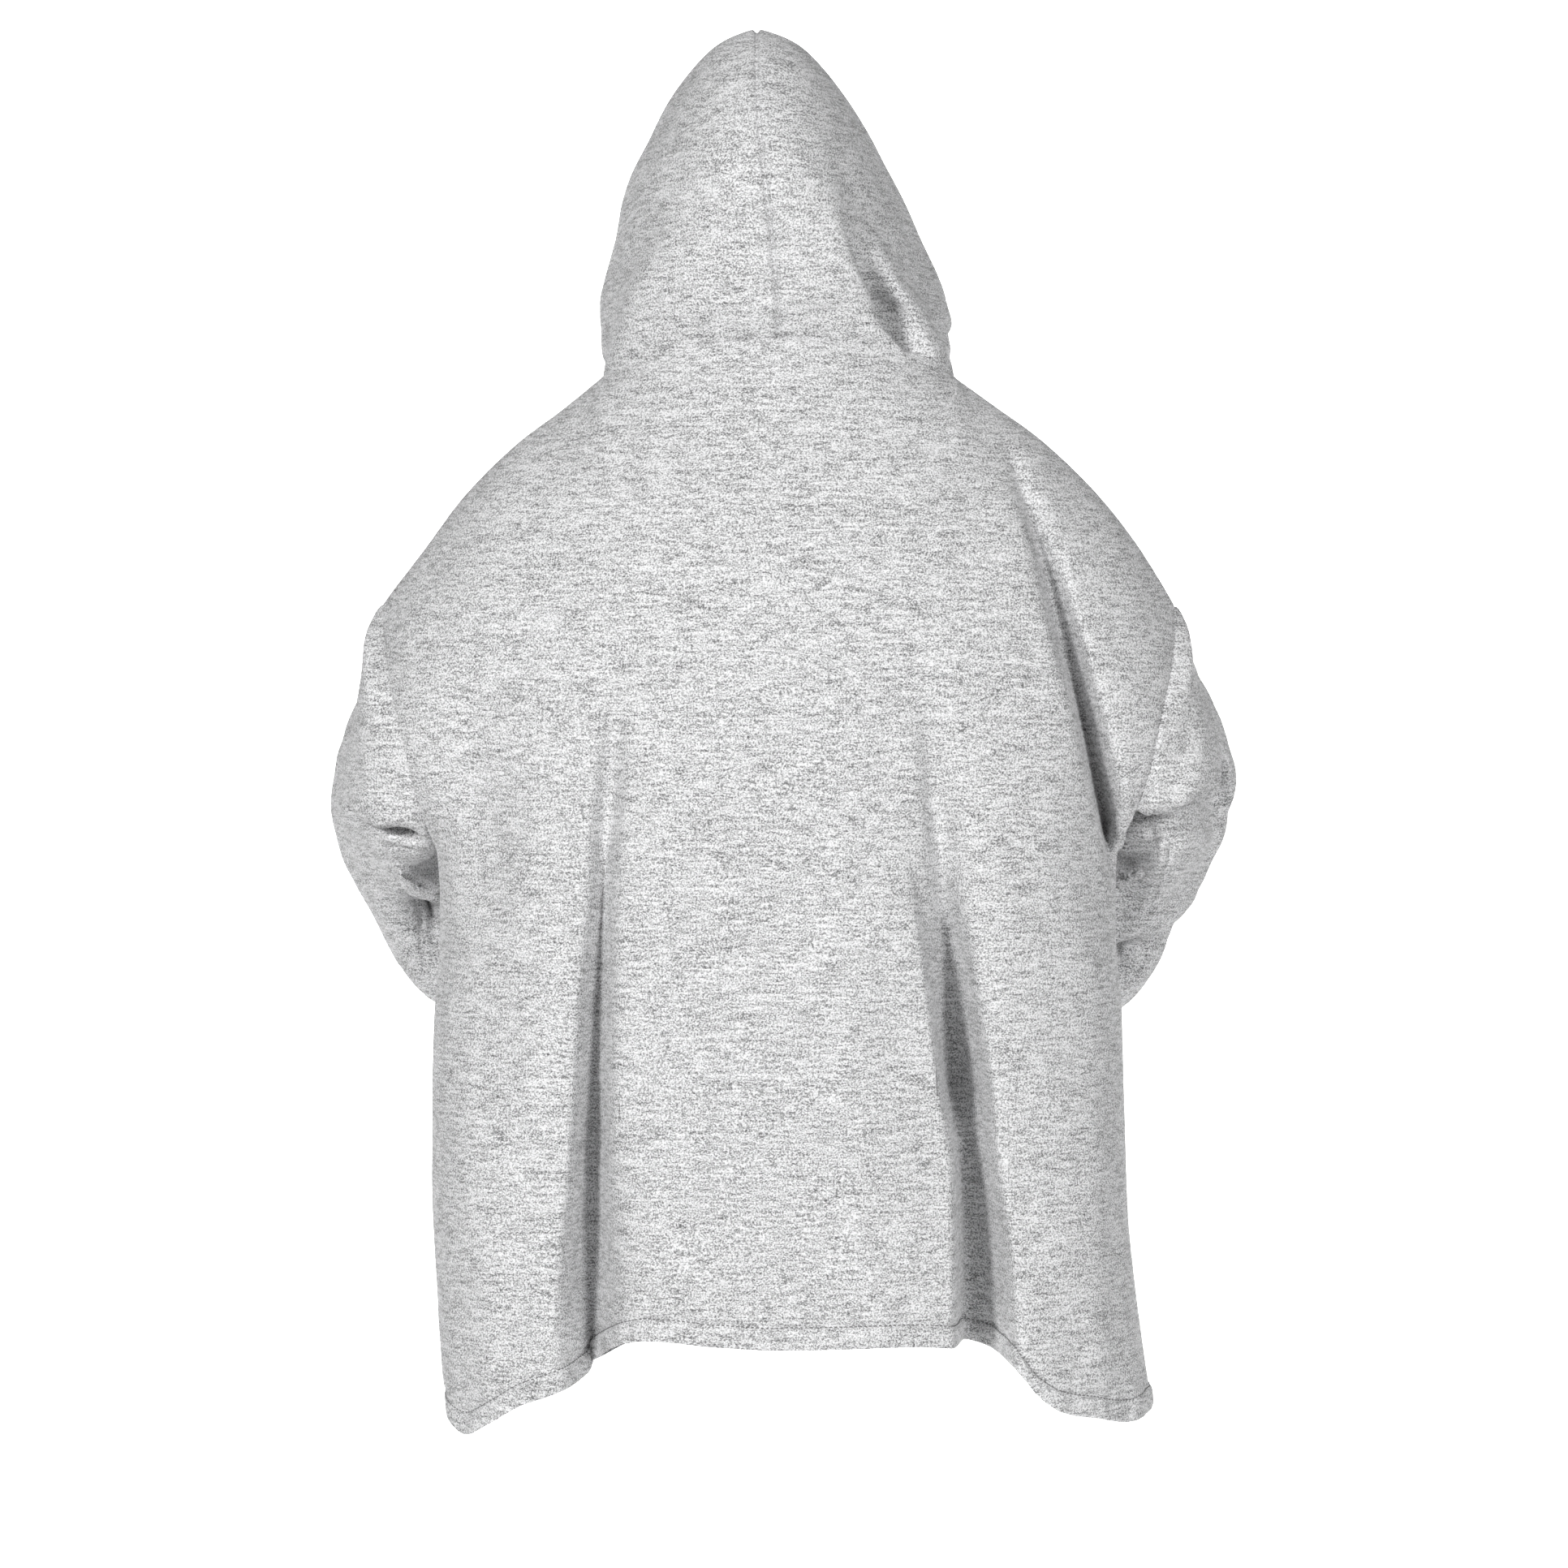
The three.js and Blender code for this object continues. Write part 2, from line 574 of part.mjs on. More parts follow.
function buildHoodie() {
  const backColumns = panelColumns(BACK_NECK_COLUMNS, BACK_SHOULDER_COLUMNS);
  const frontColumns = panelColumns(FRONT_NECK_COLUMNS, FRONT_SHOULDER_COLUMNS);
  const backRows = panelRows(BACK_SKIRT_ROWS);
  const frontRows = panelRows(FRONT_SKIRT_ROWS);
  const hoodie = new THREE.Group();
  hoodie.name = 'wearable_blanket_hoodie';
  hoodie.add(panel('back', backColumns, backRows));
  hoodie.add(panel('front', frontColumns, frontRows));
  for (const side of Object.keys(SIDES)) {
    hoodie.add(sleeve(side, backRows));
    hoodie.add(hoodHalf(side, backColumns, frontColumns));
  }
  return hoodie;
}

export default buildHoodie();
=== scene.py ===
import math
import bpy
import numpy as np
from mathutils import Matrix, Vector


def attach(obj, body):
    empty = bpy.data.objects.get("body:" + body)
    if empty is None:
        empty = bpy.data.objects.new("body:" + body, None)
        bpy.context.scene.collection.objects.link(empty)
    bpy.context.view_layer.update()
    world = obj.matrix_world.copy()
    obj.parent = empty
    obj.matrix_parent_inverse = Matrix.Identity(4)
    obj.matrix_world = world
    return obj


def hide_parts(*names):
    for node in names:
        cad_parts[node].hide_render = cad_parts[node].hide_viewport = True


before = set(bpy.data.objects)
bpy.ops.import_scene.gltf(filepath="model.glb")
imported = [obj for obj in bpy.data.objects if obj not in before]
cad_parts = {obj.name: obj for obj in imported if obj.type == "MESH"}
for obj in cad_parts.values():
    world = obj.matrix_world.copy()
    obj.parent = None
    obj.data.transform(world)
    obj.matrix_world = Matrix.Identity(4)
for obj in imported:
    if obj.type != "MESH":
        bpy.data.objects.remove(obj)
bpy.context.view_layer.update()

# The cloth pieces are worked out in millimetres from named sizes, as the frame's
# solids are, and turned into metres when a mesh is made. The back faces -Y.
MM = 0.001

# Cloth and seams: near a seam line the cloth rolls in by SEAM_ROLL times the seam's own
# share, and over SEAM_REACH its wall turns to the seam's direction
CLOTH_THICKNESS = 3.0
SEAM_GAP = 0.02
SEAM_ROLL = {"depth": 1.9, "width": 2.2}
SEAM_REACH = 8.0
ROLL_SHARES = {"shoulder": 0.6, "neck": 0.15, "side": 0.7, "crown": 2.0, "chin": 0.6}
ARMHOLE_ROLL = {"left": 0.35, "right": 1.0}

# Turned hems with their stitches
HEM_DEPTH = 18.0
HEM_SWELL = {"height": 1.4, "step": 1.5}
HEM_EDGE = {"depth": 1.0, "width": 1.4}
STITCH_GROOVE = {"depth": 2.6, "width": 2.2}
HEM_PUCKER = {"place": 0.7, "width": 12, "seed": 20, "calm": 12}
PUCKER_WAVES = [
    {"height": 1.2, "size": 8.0, "slant": 0.2},
    {"height": 1.3, "size": 19.0, "slant": 0},
]
STITCH = {"pitch": 3.8, "length": 2.7, "radius": 0.5, "corners": 6}
# Sections of one stitch: share of its length, share of its radius and lift
STITCH_SECTIONS = [
    (0.0, 0.35, -0.35), (0.18, 0.9, 0.1), (0.5, 1.0, 0.28), (0.82, 0.9, 0.1), (1.0, 0.35, -0.35),
]

# Neck opening and drop shoulder
NECK = {
    "half_width": 140, "back_depth": 76, "front_depth": 86, "back_rise": 24, "front_drop": 36, "z": -10,
}
NECK_SPREAD = {"drop": 90, "widening": 0.7, "start_power": 0.5, "power": 2}
NECK_WALL_SLOPE = 0.6
DROP_X = 315
DROP_Z = -190
SHOULDER_LINE = [
    {"x": 140, "left": -10, "right": -10},
    {"x": 172, "left": -36, "right": -33},
    {"x": 209, "left": -64, "right": -60},
    {"x": 250, "left": -105, "right": -99},
    {"x": 283, "left": -149, "right": -140},
    {"x": 315, "left": -190, "right": -190},
]
SHOULDER_ROUNDING = 235

# Half width of the body along its side edges, and its depth behind and in front
SIDE_LINE = [
    {"z": -190, "left": 315, "right": 315},
    {"z": -239, "left": 308, "right": 309},
    {"z": -277, "left": 299, "right": 300},
    {"z": -323, "left": 288, "right": 290},
    {"z": -358, "left": 279, "right": 279},
    {"z": -390, "left": 270, "right": 268},
    {"z": -450, "left": 268, "right": 266},
    {"z": -510, "left": 272, "right": 272},
    {"z": -600, "left": 274, "right": 275},
    {"z": -680, "left": 274, "right": 278},
    {"z": -760, "left": 268, "right": 287},
    {"z": -845, "left": 260, "right": 299},
]
DEPTH_LINE = [
    {"z": 20, "back": 96, "front": 84},
    {"z": -60, "back": 118, "front": 96},
    {"z": -160, "back": 138, "front": 108},
    {"z": -300, "back": 148, "front": 112},
    {"z": -450, "back": 150, "front": 114},
    {"z": -600, "back": 152, "front": 124},
    {"z": -845, "back": 160, "front": 136},
]
BODY_ROUNDNESS = {"back": 2.5, "front": 2.2}
UNDERARM_SHARE = 0.31
ARMHOLE_DEPTH = {"back": 76, "front": 92}
ARMHOLE_ROUNDNESS = 0.55
ARMHOLE_WALL_TILT = 0.5
FRONT_ARMHOLE_INSET = 36
INSET_FALLOFF = 5
# Height of the hem from the left to the right side: u and z
HEM_POINTS = {
    "back": [
        (-1, -829), (-0.93, -839), (-0.857, -828), (-0.76, -812), (-0.67, -803),
        (-0.59, -794), (-0.52, -776), (-0.455, -763), (-0.37, -758), (-0.2, -762),
        (0, -765), (0.34, -763), (0.5, -768), (0.605, -779), (0.64, -790),
        (0.68, -804), (0.74, -816), (0.84, -823), (0.93, -829), (1, -824),
    ],
    "front": [
        (-1, -829), (-0.92, -838), (-0.74, -824), (-0.6, -806), (-0.5, -793),
        (-0.42, -785), (0, -780), (0.5, -786), (0.6, -796), (0.7, -812),
        (0.82, -826), (0.93, -832), (1, -824),
    ],
}

# Folds: each is a trough from start down to end, through x at its top, middle and
# bottom, with its depth above and below, the widths of its two flanks, how much wider
# it opens at the hem and the share of the half width over which it dies out at a side
FOLD_COLUMNS = (
    "start", "end", "top", "middle", "bottom", "upper", "lower", "left", "right", "open", "calm",
)
BACK_FOLDS = [
    (-230, -900, -121, -142, -146, 0, 60, 9, 10, 0.65, 0.2),
    (-560, -900, -141, -139, -132, 0, 16, 18, 36, 0, 0.2),
    (-280, -900, -134, -148, -144, 0, 13, 34, 42, 0.3, 0.2),
    (-230, -620, 110, 128, 142, 0, 27, 9, 13, 0, 0.2),
    (-200, -900, 98, 126, 150, 0, 20, 44, 30, 0, 0.2),
    (-70, -470, 179, 236, 282, 14, 66, 7, 9, 0, 0.05),
    (-80, -470, 186, 238, 276, 2, 7, 26, 34, 0, 0.12),
    (-150, -470, -228, -238, -244, 4, 12, 40, 34, 0, 0.2),
    (-480, -900, 12, 8, 2, 0, 15, 62, 66, 0, 0.2),
]
# Folds with a flat floor
BACK_TROUGHS = [
    (-370, -900, 103, 147, 147, 0, 84, 11, 18, 0.25, 0.2),
]
# Pleat: a fold whose left side stands as a wall under a rounded lip, with a floor that
# stays low beside it. left is the width of the lip and right that of the floor
PLEAT = {"lip_share": 0.22, "wall": 0.2, "floor": 0.2}
FRONT_FOLDS = [
    (-200, -900, -96, -122, -138, 2, 30, 26, 26, 0, 0.2),
    (-260, -900, 84, 112, 128, 0, 34, 20, 36, 0, 0.2),
    (-120, -460, -186, -204, -216, 6, 14, 26, 24, 0, 0.2),
    (-120, -460, 180, 200, 212, 6, 16, 24, 26, 0, 0.2),
]
# Softer creases on top of the folds
BACK_CREASES = [
    (-20, -300, -84, -168, -222, 1, 2.6, 20, 26, 0, 0.2),
    (-20, -260, 96, 158, 196, 1, 2.8, 24, 18, 0, 0.2),
    (-330, -900, -212, -206, -196, 0, 5, 24, 30, 0, 0.2),
    (-420, -900, 222, 230, 240, 0, 4, 26, 18, 0, 0.1),
    (-560, -900, -72, -70, -64, 0, 4, 22, 28, 0, 0.2),
    (-600, -900, 84, 86, 82, 0, 4.5, 24, 22, 0, 0.2),
    (-640, -900, -250, -244, -232, 0, 5, 12, 16, 0, 0.1),
    (-500, -900, 262, 266, 276, 0, 4, 14, 10, 0, 0.1),
]
FRONT_CREASES = [
    (-60, -320, -60, -120, -180, 1, 3.5, 22, 22, 0, 0.2),
    (-60, -320, 54, 118, 176, 1, 3.5, 22, 22, 0, 0.2),
    (-420, -900, 6, 2, -6, 0, 9, 46, 50, 0, 0.2),
    (-420, -900, -214, -216, -220, 0, 6, 22, 26, 0, 0.2),
    (-420, -900, 210, 214, 222, 0, 6, 26, 22, 0, 0.2),
]
FOLD_FADE = 60
FOLD_OPENING = {"from": 600, "to": 760}
# Small wrinkles: how far each layer of noise is stretched and slanted, the distance
# between its hills and its height
PANEL_WRINKLES = [
    {"across": 1, "slant": 0, "down": 0.35, "size": 46, "seed": 0, "upper": 1.2, "lower": 2.4},
    {"across": 1, "slant": 0.3, "down": 0.6, "size": 23, "seed": 5, "upper": 0.7, "lower": 0.7},
    {"across": 0.4, "slant": 0, "down": 0.9, "size": 62, "seed": 9, "upper": 1.6, "lower": 1.6},
]
PANEL_CALM = {"side": 40, "top": 60}
PANEL_LOWER = {"from": 150, "to": 700}

# Sleeves
SLEEVE_COLUMNS = ("inner_x", "inner_y", "outer_x", "outer_y", "z", "half")
SLEEVE_RINGS = [
    (256, 78, 300, -66, -290, 100),
    (269, 84, 318, -55, -302, 93),
    (275, 93, 334, -34, -319, 87),
    (273, 104, 349, 0, -342, 83),
    (269, 117, 352, 34, -370, 78),
    (260, 131, 346, 68, -402, 73),
    (243, 144, 332, 100, -438, 68),
    (218, 157, 316, 132, -474, 63),
    (196, 173, 292, 163, -507, 58),
    (171, 188, 263, 192, -533, 52),
    (145, 200, 231, 217, -554, 48),
]
SLEEVE_BLEND = 0.16
SLEEVE_TURN = 0.6
# The elbow fold runs round the outside of the arm: how far the cloth under it is drawn
# in, wide and right at the edge, how the cloth above bulges and hangs over it, the angles
# it spans, the line of its lower edge and its widths
ELBOW_FOLD = {
    "left": {"depth": 4, "crevice": 16, "bulge": 5, "overhang": 6},
    "right": {"depth": 34, "crevice": 26, "bulge": 10, "overhang": 14},
}
ELBOW_SPAN = {
    "left": {"start": 90, "full": 108, "fade": 142, "end": 174},
    "right": {"start": 60, "full": 84, "fade": 200, "end": 290},
}
ELBOW_LINE = {
    "left": [
        {"angle": 80, "share": 0.34},
        {"angle": 98, "share": 0.29},
        {"angle": 113, "share": 0.235},
        {"angle": 136, "share": 0.105},
        {"angle": 155, "share": 0.045},
        {"angle": 178, "share": 0.02},
    ],
    "right": [
        {"angle": 80, "share": 0.29},
        {"angle": 90, "share": 0.25},
        {"angle": 107, "share": 0.15},
        {"angle": 126, "share": 0.08},
        {"angle": 142, "share": 0.03},
        {"angle": 152, "share": 0.0},
    ],
}
ELBOW_WIDTHS = {
    "left": {"edge": 3, "recess": 24, "roll": 15, "crevice": 5},
    "right": {"edge": 3, "recess": 44, "roll": 15, "crevice": 7},
}
# Direction in which it is drawn in, the share of the sleeve over which it begins, and
# the length along the arm of a whole share, square to the slanting fold
ELBOW_RECESS = {"x": -0.25, "y": 0.95, "z": 0.15}
ELBOW_BLEND = 0.03
ELBOW_SCALE = 340
ELBOW_LEAN = 0.75
# Where the cloth over the shoulder stands out or is drawn in beside the armhole
SLEEVE_CAPS = {
    "left": [
        {"share": 0.1, "width": 0.08, "angle": 18, "span": 42, "out": 15},
        {"share": 0.3, "width": 0.12, "angle": 44, "span": 40, "out": -14},
    ],
    "right": [
        {"share": 0.1, "width": 0.08, "angle": 18, "span": 42, "out": 15},
        {"share": 0.24, "width": 0.08, "angle": 40, "span": 36, "out": -5},
    ],
}
SLEEVE_CAP_START = 0.08
UNDERARM_SEAM = {"angle": 180, "turn": -42, "turned": 0.2, "from": 0.6, "depth": 2.6, "width": 2.4}
# Creases of the sleeve: where each lies, how wide its two flanks are, how deep it is,
# and the angle it is centred on and spans
CREASE_COLUMNS = ("share", "before", "after", "depth", "angle", "span")
SLEEVE_CREASES = {
    "left": [
        (0.56, 0.035, 0.07, 52, 156, 24),
        (0.78, 0.03, 0.04, 7, 130, 70),
        (0.44, 0.05, 0.05, 8, 300, 50),
        (0.58, 0.04, 0.04, 7, 290, 50),
        (0.92, 0.022, 0.022, 4, 90, 70),
    ],
    "right": [
        (0.50, 0.04, 0.06, 7, 104, 26),
        (0.655, 0.03, 0.03, 34, 150, 22),
        (0.635, 0.02, 0.035, 15, 110, 40),
        (0.42, 0.2, 0.2, 16, 166, 22),
        (0.80, 0.03, 0.04, 8, 150, 60),
        (0.42, 0.05, 0.05, 8, 300, 50),
        (0.56, 0.04, 0.04, 7, 290, 50),
        (0.92, 0.022, 0.022, 4, 90, 70),
    ],
}
SLEEVE_WRINKLES = [
    {"along": 1, "turn": 0.3, "size": 26, "seed": 0, "height": 2.2},
    {"along": 0.7, "turn": 0, "size": 55, "seed": 3, "height": 2.4},
]
SLEEVE_SWIRL = 50
SLEEVE_CALM = 30
SLEEVE_HEM = {"calm": 4, "seam_from": 2, "seam_to": 10, "pucker_turn": 0.9}

# Hood
CROWN_LINE = [
    {"share": 0, "y": -76, "z": 14},
    {"share": 0.04, "y": -83, "z": 24},
    {"share": 0.09, "y": -92, "z": 42},
    {"share": 0.17, "y": -103, "z": 70},
    {"share": 0.32, "y": -117, "z": 124},
    {"share": 0.48, "y": -108, "z": 184},
    {"share": 0.62, "y": -72, "z": 236},
    {"share": 0.74, "y": -24, "z": 264},
    {"share": 0.87, "y": 42, "z": 254},
    {"share": 1, "y": 104, "z": 214},
]
CHIN = {"y": 86, "z": -46, "forward": 22, "rise": 34}
HOOD_WIDTHS = [
    {"down": 0, "half": 0},
    {"down": 0.03, "half": 26},
    {"down": 0.07, "half": 43},
    {"down": 0.16, "half": 66},
    {"down": 0.28, "half": 88},
    {"down": 0.41, "half": 107},
    {"down": 0.54, "half": 123},
    {"down": 0.65, "half": 135},
    {"down": 0.77, "half": 139},
    {"down": 0.87, "half": 122},
    {"down": 0.95, "half": 74},
    {"down": 1, "half": 0},
]
HOOD_BLEND_END = 0.45
HOOD_LEAN = {"x": -17, "share": 0.6, "from": 0.15, "to": 0.95}
FACE_NARROWING = {"left": 0.8, "right": 0.97, "from": 0.68}
FACE_FLARE = {"left": 0, "right": 9, "from": 0.82, "down": 0.78, "reach": 0.22}
HOOD_FOLDS = [
    (150, -50, 52, 86, 122, 4, 30, 14, 30, 0, 0.2),
    (110, -50, -70, -96, -118, 0, 8, 28, 24, 0, 0.2),
]
# Drawn in square to the cloth where it is seen from behind
HOOD_PLEATS = [
    (104, -50, 50, 88, 134, 2, 54, 5, 24, 0, 0.2),
]
HOOD_PLEAT_REACH = {"from": 30, "to": 80}
HOOD_PLEAT_ENDS = {"neck": 26, "face_from": 20, "face_to": 50}
HOOD_CALM = {"neck": 0.14, "front": 50}
HOOD_WRINKLES = [
    {"across": 1, "forward": 0.6, "slant": 0, "down": 0.8, "size": 38, "seed": 0, "height": 1.9, "nape": 0},
    {"across": 0.4, "forward": 0, "slant": 1, "down": 1.1, "size": 17, "seed": 4, "height": 2.2, "nape": 1},
]
NAPE = {"z": 34, "width": 24}
HOOD_WRINKLE_CALM = {"crown": 25, "neck_from": 2, "neck_to": 30, "chin": 25}
HOOD_HEM_START = 6

SIDES = {"left": -1, "right": 1}
FACES = {"back": -1, "front": 1}

# Number of mesh cells, and shares and angles of extra rows at edges
NECK_CELLS = 76
SHOULDER_CELLS = {"left": 62, "right": 104}
FINE_COLUMNS = {"back": [(-0.64, -0.40), (0.72, 0.96)], "front": []}
ARMHOLE_ROWS = 42
SKIRT_ROWS = 88
FRONT_SHARE = 0.68
SLEEVE_LOOP_CELLS = 78
SLEEVE_CELLS_ALONG = 96
SLEEVE_FINE_SPAN = (0.0, 0.42)
HOOD_CELLS = {
    "left": {"across": 120, "along": 104},
    "right": {"across": 176, "along": 140},
}
CROWDED_STEPS = (0.12, 0.26, 0.42, 0.6, 0.8)
HEM_ROWS = (0.0008, 0.002, 0.004, 0.0195, 0.0215, 0.0235, 0.0255)
HOOD_HEM_ROWS = (0.002, 0.005, 0.01)
CROWN_ANGLES = (0.0, 0.25, 0.6, 1.0, 1.6)
CROWN_ANGLES_END = 2.2
ARMHOLE_CROWDING = 1.15
TANGENT_STEP = 0.0005
NOISE_CELLS = 64
ON_EDGE = 1e-9


def named_rows(rows, columns):
    return [dict(zip(columns, row)) for row in rows]


HEM_LINE = {face: named_rows(points, ("u", "z")) for face, points in HEM_POINTS.items()}
SLEEVE_TABLE = [
    {**row, "share": index / (len(SLEEVE_RINGS) - 1)}
    for index, row in enumerate(named_rows(SLEEVE_RINGS, SLEEVE_COLUMNS))
]


def smoothstep(value, low, high):
    share = np.clip((np.asarray(value, float) - low) / (high - low), 0, 1)
    return share * share * (3 - 2 * share)


def mixed(a, b, share):
    return a + (b - a) * share


def table_value(rows, key, place, column):
    """One column of a table at places along its key, on a smooth curve."""
    keys = np.array([row[key] for row in rows], float)
    values = np.array([row[column] for row in rows], float)
    place = np.asarray(place, float)
    if keys[-1] < keys[0]:
        index = len(keys) - 1 - np.searchsorted(keys[::-1], place, side="left")
    else:
        index = np.searchsorted(keys, place, side="left") - 1
    index = np.clip(index, 0, len(keys) - 2)
    before = np.maximum(index - 1, 0)
    after = np.minimum(index + 2, len(keys) - 1)
    length = keys[index + 1] - keys[index]
    share = np.clip((place - keys[index]) / length, 0, 1)
    start = (values[index + 1] - values[before]) / (keys[index + 1] - keys[before]) * length
    end = (values[after] - values[index]) / (keys[after] - keys[index]) * length
    square, cube = share**2, share**3
    return (
        values[index] * (2 * cube - 3 * square + 1)
        + values[index + 1] * (3 * square - 2 * cube)
        + start * (cube - 2 * square + share)
        + end * (cube - square)
    )


def bump(offset, left_width, right_width):
    return np.exp(-((offset / np.where(offset < 0, left_width, right_width)) ** 2))


def trough(offset, left_width, right_width):
    return np.exp(-((offset / np.where(offset < 0, left_width, right_width)) ** 4))


def pleat(offset, left_width, right_width):
    lip = PLEAT["lip_share"] * np.exp(-((offset / left_width) ** 2))
    wall = (1 - PLEAT["lip_share"]) * np.exp(-((offset / (left_width * PLEAT["wall"])) ** 2))
    floor = 1 - smoothstep(offset, right_width * PLEAT["floor"], right_width)
    return np.where(offset < 0, lip + wall, floor)


def fold_depth(folds, x, z, edge, profile=bump):
    """Depth of the folds at x and z, where edge is the share left to the panel's side."""
    depth = np.zeros(np.broadcast(x, z).shape)
    for fold in named_rows(folds, FOLD_COLUMNS):
        share = np.clip((fold["start"] - z) / (fold["start"] - fold["end"]), 0, 1)
        centre = (
            fold["top"] * (1 - share) * (1 - 2 * share)
            + fold["middle"] * 4 * share * (1 - share)
            + fold["bottom"] * share * (2 * share - 1)
        )
        strength = mixed(fold["upper"], fold["lower"], np.sin(share * np.pi / 2))
        fade_in = smoothstep(fold["start"] - z, -FOLD_FADE, FOLD_FADE)
        fade_out = smoothstep(z - fold["end"], 0, FOLD_FADE)
        wider = 1 + fold["open"] * smoothstep(-z, FOLD_OPENING["from"], FOLD_OPENING["to"])
        across = profile((x - centre) / wider, fold["left"], fold["right"])
        depth = depth + strength * fade_in * fade_out * across * smoothstep(edge, 0, fold["calm"])
    return depth


def soft_noise(x, y, size, seed):
    """Smooth random hills between -1 and 1, about size apart."""
    cells = NOISE_CELLS
    lattice = np.random.default_rng(seed).uniform(-1, 1, (cells, cells))
    px, py = np.asarray(x) / size + cells / 2, np.asarray(y) / size + cells / 2
    ix, iy = np.floor(px).astype(int), np.floor(py).astype(int)
    fx, fy = px - ix, py - iy
    fx, fy = fx**3 * (fx * (6 * fx - 15) + 10), fy**3 * (fy * (6 * fy - 15) + 10)
    at = lambda i, j: lattice[i % cells, j % cells]
    low = mixed(at(ix, iy), at(ix + 1, iy), fx)
    high = mixed(at(ix, iy + 1), at(ix + 1, iy + 1), fx)
    return mixed(low, high, fy)


# Body
def top_edge(face, u):
    """y and z of a panel's top edge: the shoulder seam, or the neck within it."""
    x = np.abs(u * DROP_X)
    inside = np.clip(1 - (x / NECK["half_width"]) ** 2, 0, 1)
    if face == "back":
        y, z = NECK["back_depth"] * np.sqrt(inside), NECK["z"] + NECK["back_rise"] * inside
    else:
        y, z = NECK["front_depth"] * np.sqrt(inside), NECK["z"] - NECK["front_drop"] * inside
    shoulder = np.where(
        u < 0,
        table_value(SHOULDER_LINE, "x", x, "left"),
        table_value(SHOULDER_LINE, "x", x, "right"),
    )
    return y, np.where(x >= NECK["half_width"], shoulder, z)


def neck_swell(face, x, drop):
    """How far the neck oval still stands out at x, some way down from the top edge."""
    share = np.clip(drop / NECK_SPREAD["drop"], 0, 1)
    half_width = NECK["half_width"] + NECK_SPREAD["widening"] * np.minimum(drop, NECK_SPREAD["drop"])
    inside = np.clip(1 - (x / half_width) ** 2, 0, 1)
    power = mixed(NECK_SPREAD["start_power"], NECK_SPREAD["power"], np.sqrt(share))
    return NECK[f"{face}_depth"] * inside**power


def body_point(face, u, v):
    """Points of a panel at u from the left to the right side and v from top to hem."""
    u, v = np.broadcast_arrays(np.asarray(u, float), np.asarray(v, float))
    _, top_z = top_edge(face, u)
    z = mixed(top_z, table_value(HEM_LINE[face], "u", u, "z"), v)
    edge_hem = table_value(HEM_LINE[face], "u", np.where(u < 0, -1.0, 1.0), "z")
    edge_z = mixed(DROP_Z, edge_hem, v)
    arm_share = np.clip(v / UNDERARM_SHARE, 0, 1)
    opening = np.sin(arm_share * np.pi)
    half_width = np.where(
        u < 0,
        table_value(SIDE_LINE, "z", edge_z, "left"),
        table_value(SIDE_LINE, "z", edge_z, "right"),
    )
    x = u * half_width
    if face == "front":
        x = x - np.sign(u) * FRONT_ARMHOLE_INSET * opening * np.abs(u) ** INSET_FALLOFF
    reach = table_value(DEPTH_LINE, "z", z, face)
    arm_depth = np.where(
        arm_share < 1, ARMHOLE_DEPTH[face] * np.clip(opening, 0, 1) ** ARMHOLE_ROUNDNESS, 0
    )
    power = BODY_ROUNDNESS[face]
    edge_part = (arm_depth / reach) ** power
    spread = (edge_part + (1 - edge_part) * (1 - np.abs(u) ** power)) ** (1 / power)
    drop = top_z - z
    fallen = np.clip(drop / SHOULDER_ROUNDING, 0, 1)
    rise = np.sqrt(1 - (1 - fallen) ** 2)
    folds = BACK_FOLDS + BACK_CREASES if face == "back" else FRONT_FOLDS + FRONT_CREASES
    swell = neck_swell(face, u * DROP_X, drop)
    edge = 1 - np.abs(u)
    depth = fold_depth(folds, x, z, edge)
    if face == "back":
        depth = depth + fold_depth(BACK_TROUGHS, x, z, edge, trough)
    depth = depth * rise
    y = swell + (reach * spread - swell) * rise - depth
    return np.stack([x, FACES[face] * y, z], axis=-1)


# Seams: directions through the cloth that both pieces share
def unit(vectors):
    return vectors / np.maximum(np.linalg.norm(vectors, axis=-1, keepdims=True), 1e-9)


def neck_direction(points):
    flat = unit(points[..., :2])
    return unit(np.concatenate([-flat, np.full(flat.shape[:-1] + (1,), -NECK_WALL_SLOPE)], axis=-1))


def armhole_direction(side, points):
    middle_z = SLEEVE_TABLE[0]["z"]
    middle_x = SIDES[side] * float(table_value(SIDE_LINE, "z", middle_z, side))
    across = np.array([middle_x, 0.0, middle_z]) - points
    across[..., 0] *= ARMHOLE_WALL_TILT
    return unit(across)


def edge_direction(line, near, axis):
    """Inward direction square to a seam line and to an axis, on the side of near."""
    square = unit(np.cross(np.gradient(line, axis=0), np.eye(3)[axis]))
    return square * np.where((square * near).sum(-1, keepdims=True) < 0, -1, 1)


def toward_edge(directions, edge, distance, reach):
    share = smoothstep(distance, 0, reach)[..., None]
    return unit(edge * (1 - share) + directions * share)


def grid_directions(grid, closed, turn):
    """Inward directions of a grid of outer points."""
    down = np.empty_like(grid)
    down[1:-1] = grid[2:] - grid[:-2]
    down[0], down[-1] = grid[1] - grid[0], grid[-1] - grid[-2]
    across = np.roll(grid, -1, axis=1) - np.roll(grid, 1, axis=1)
    if not closed:
        across[:, 0] = grid[:, 1] - grid[:, 0]
        across[:, -1] = grid[:, -1] - grid[:, -2]
    return unit(np.cross(down, across) * turn)


def run_lengths(grid, axis):
    """Length along the cloth from the first row or column."""
    steps = np.linalg.norm(np.diff(grid, axis=axis), axis=-1)
    start = np.zeros_like(np.take(steps, [0], axis=axis))
    return np.concatenate([start, np.cumsum(steps, axis=axis)], axis=axis)


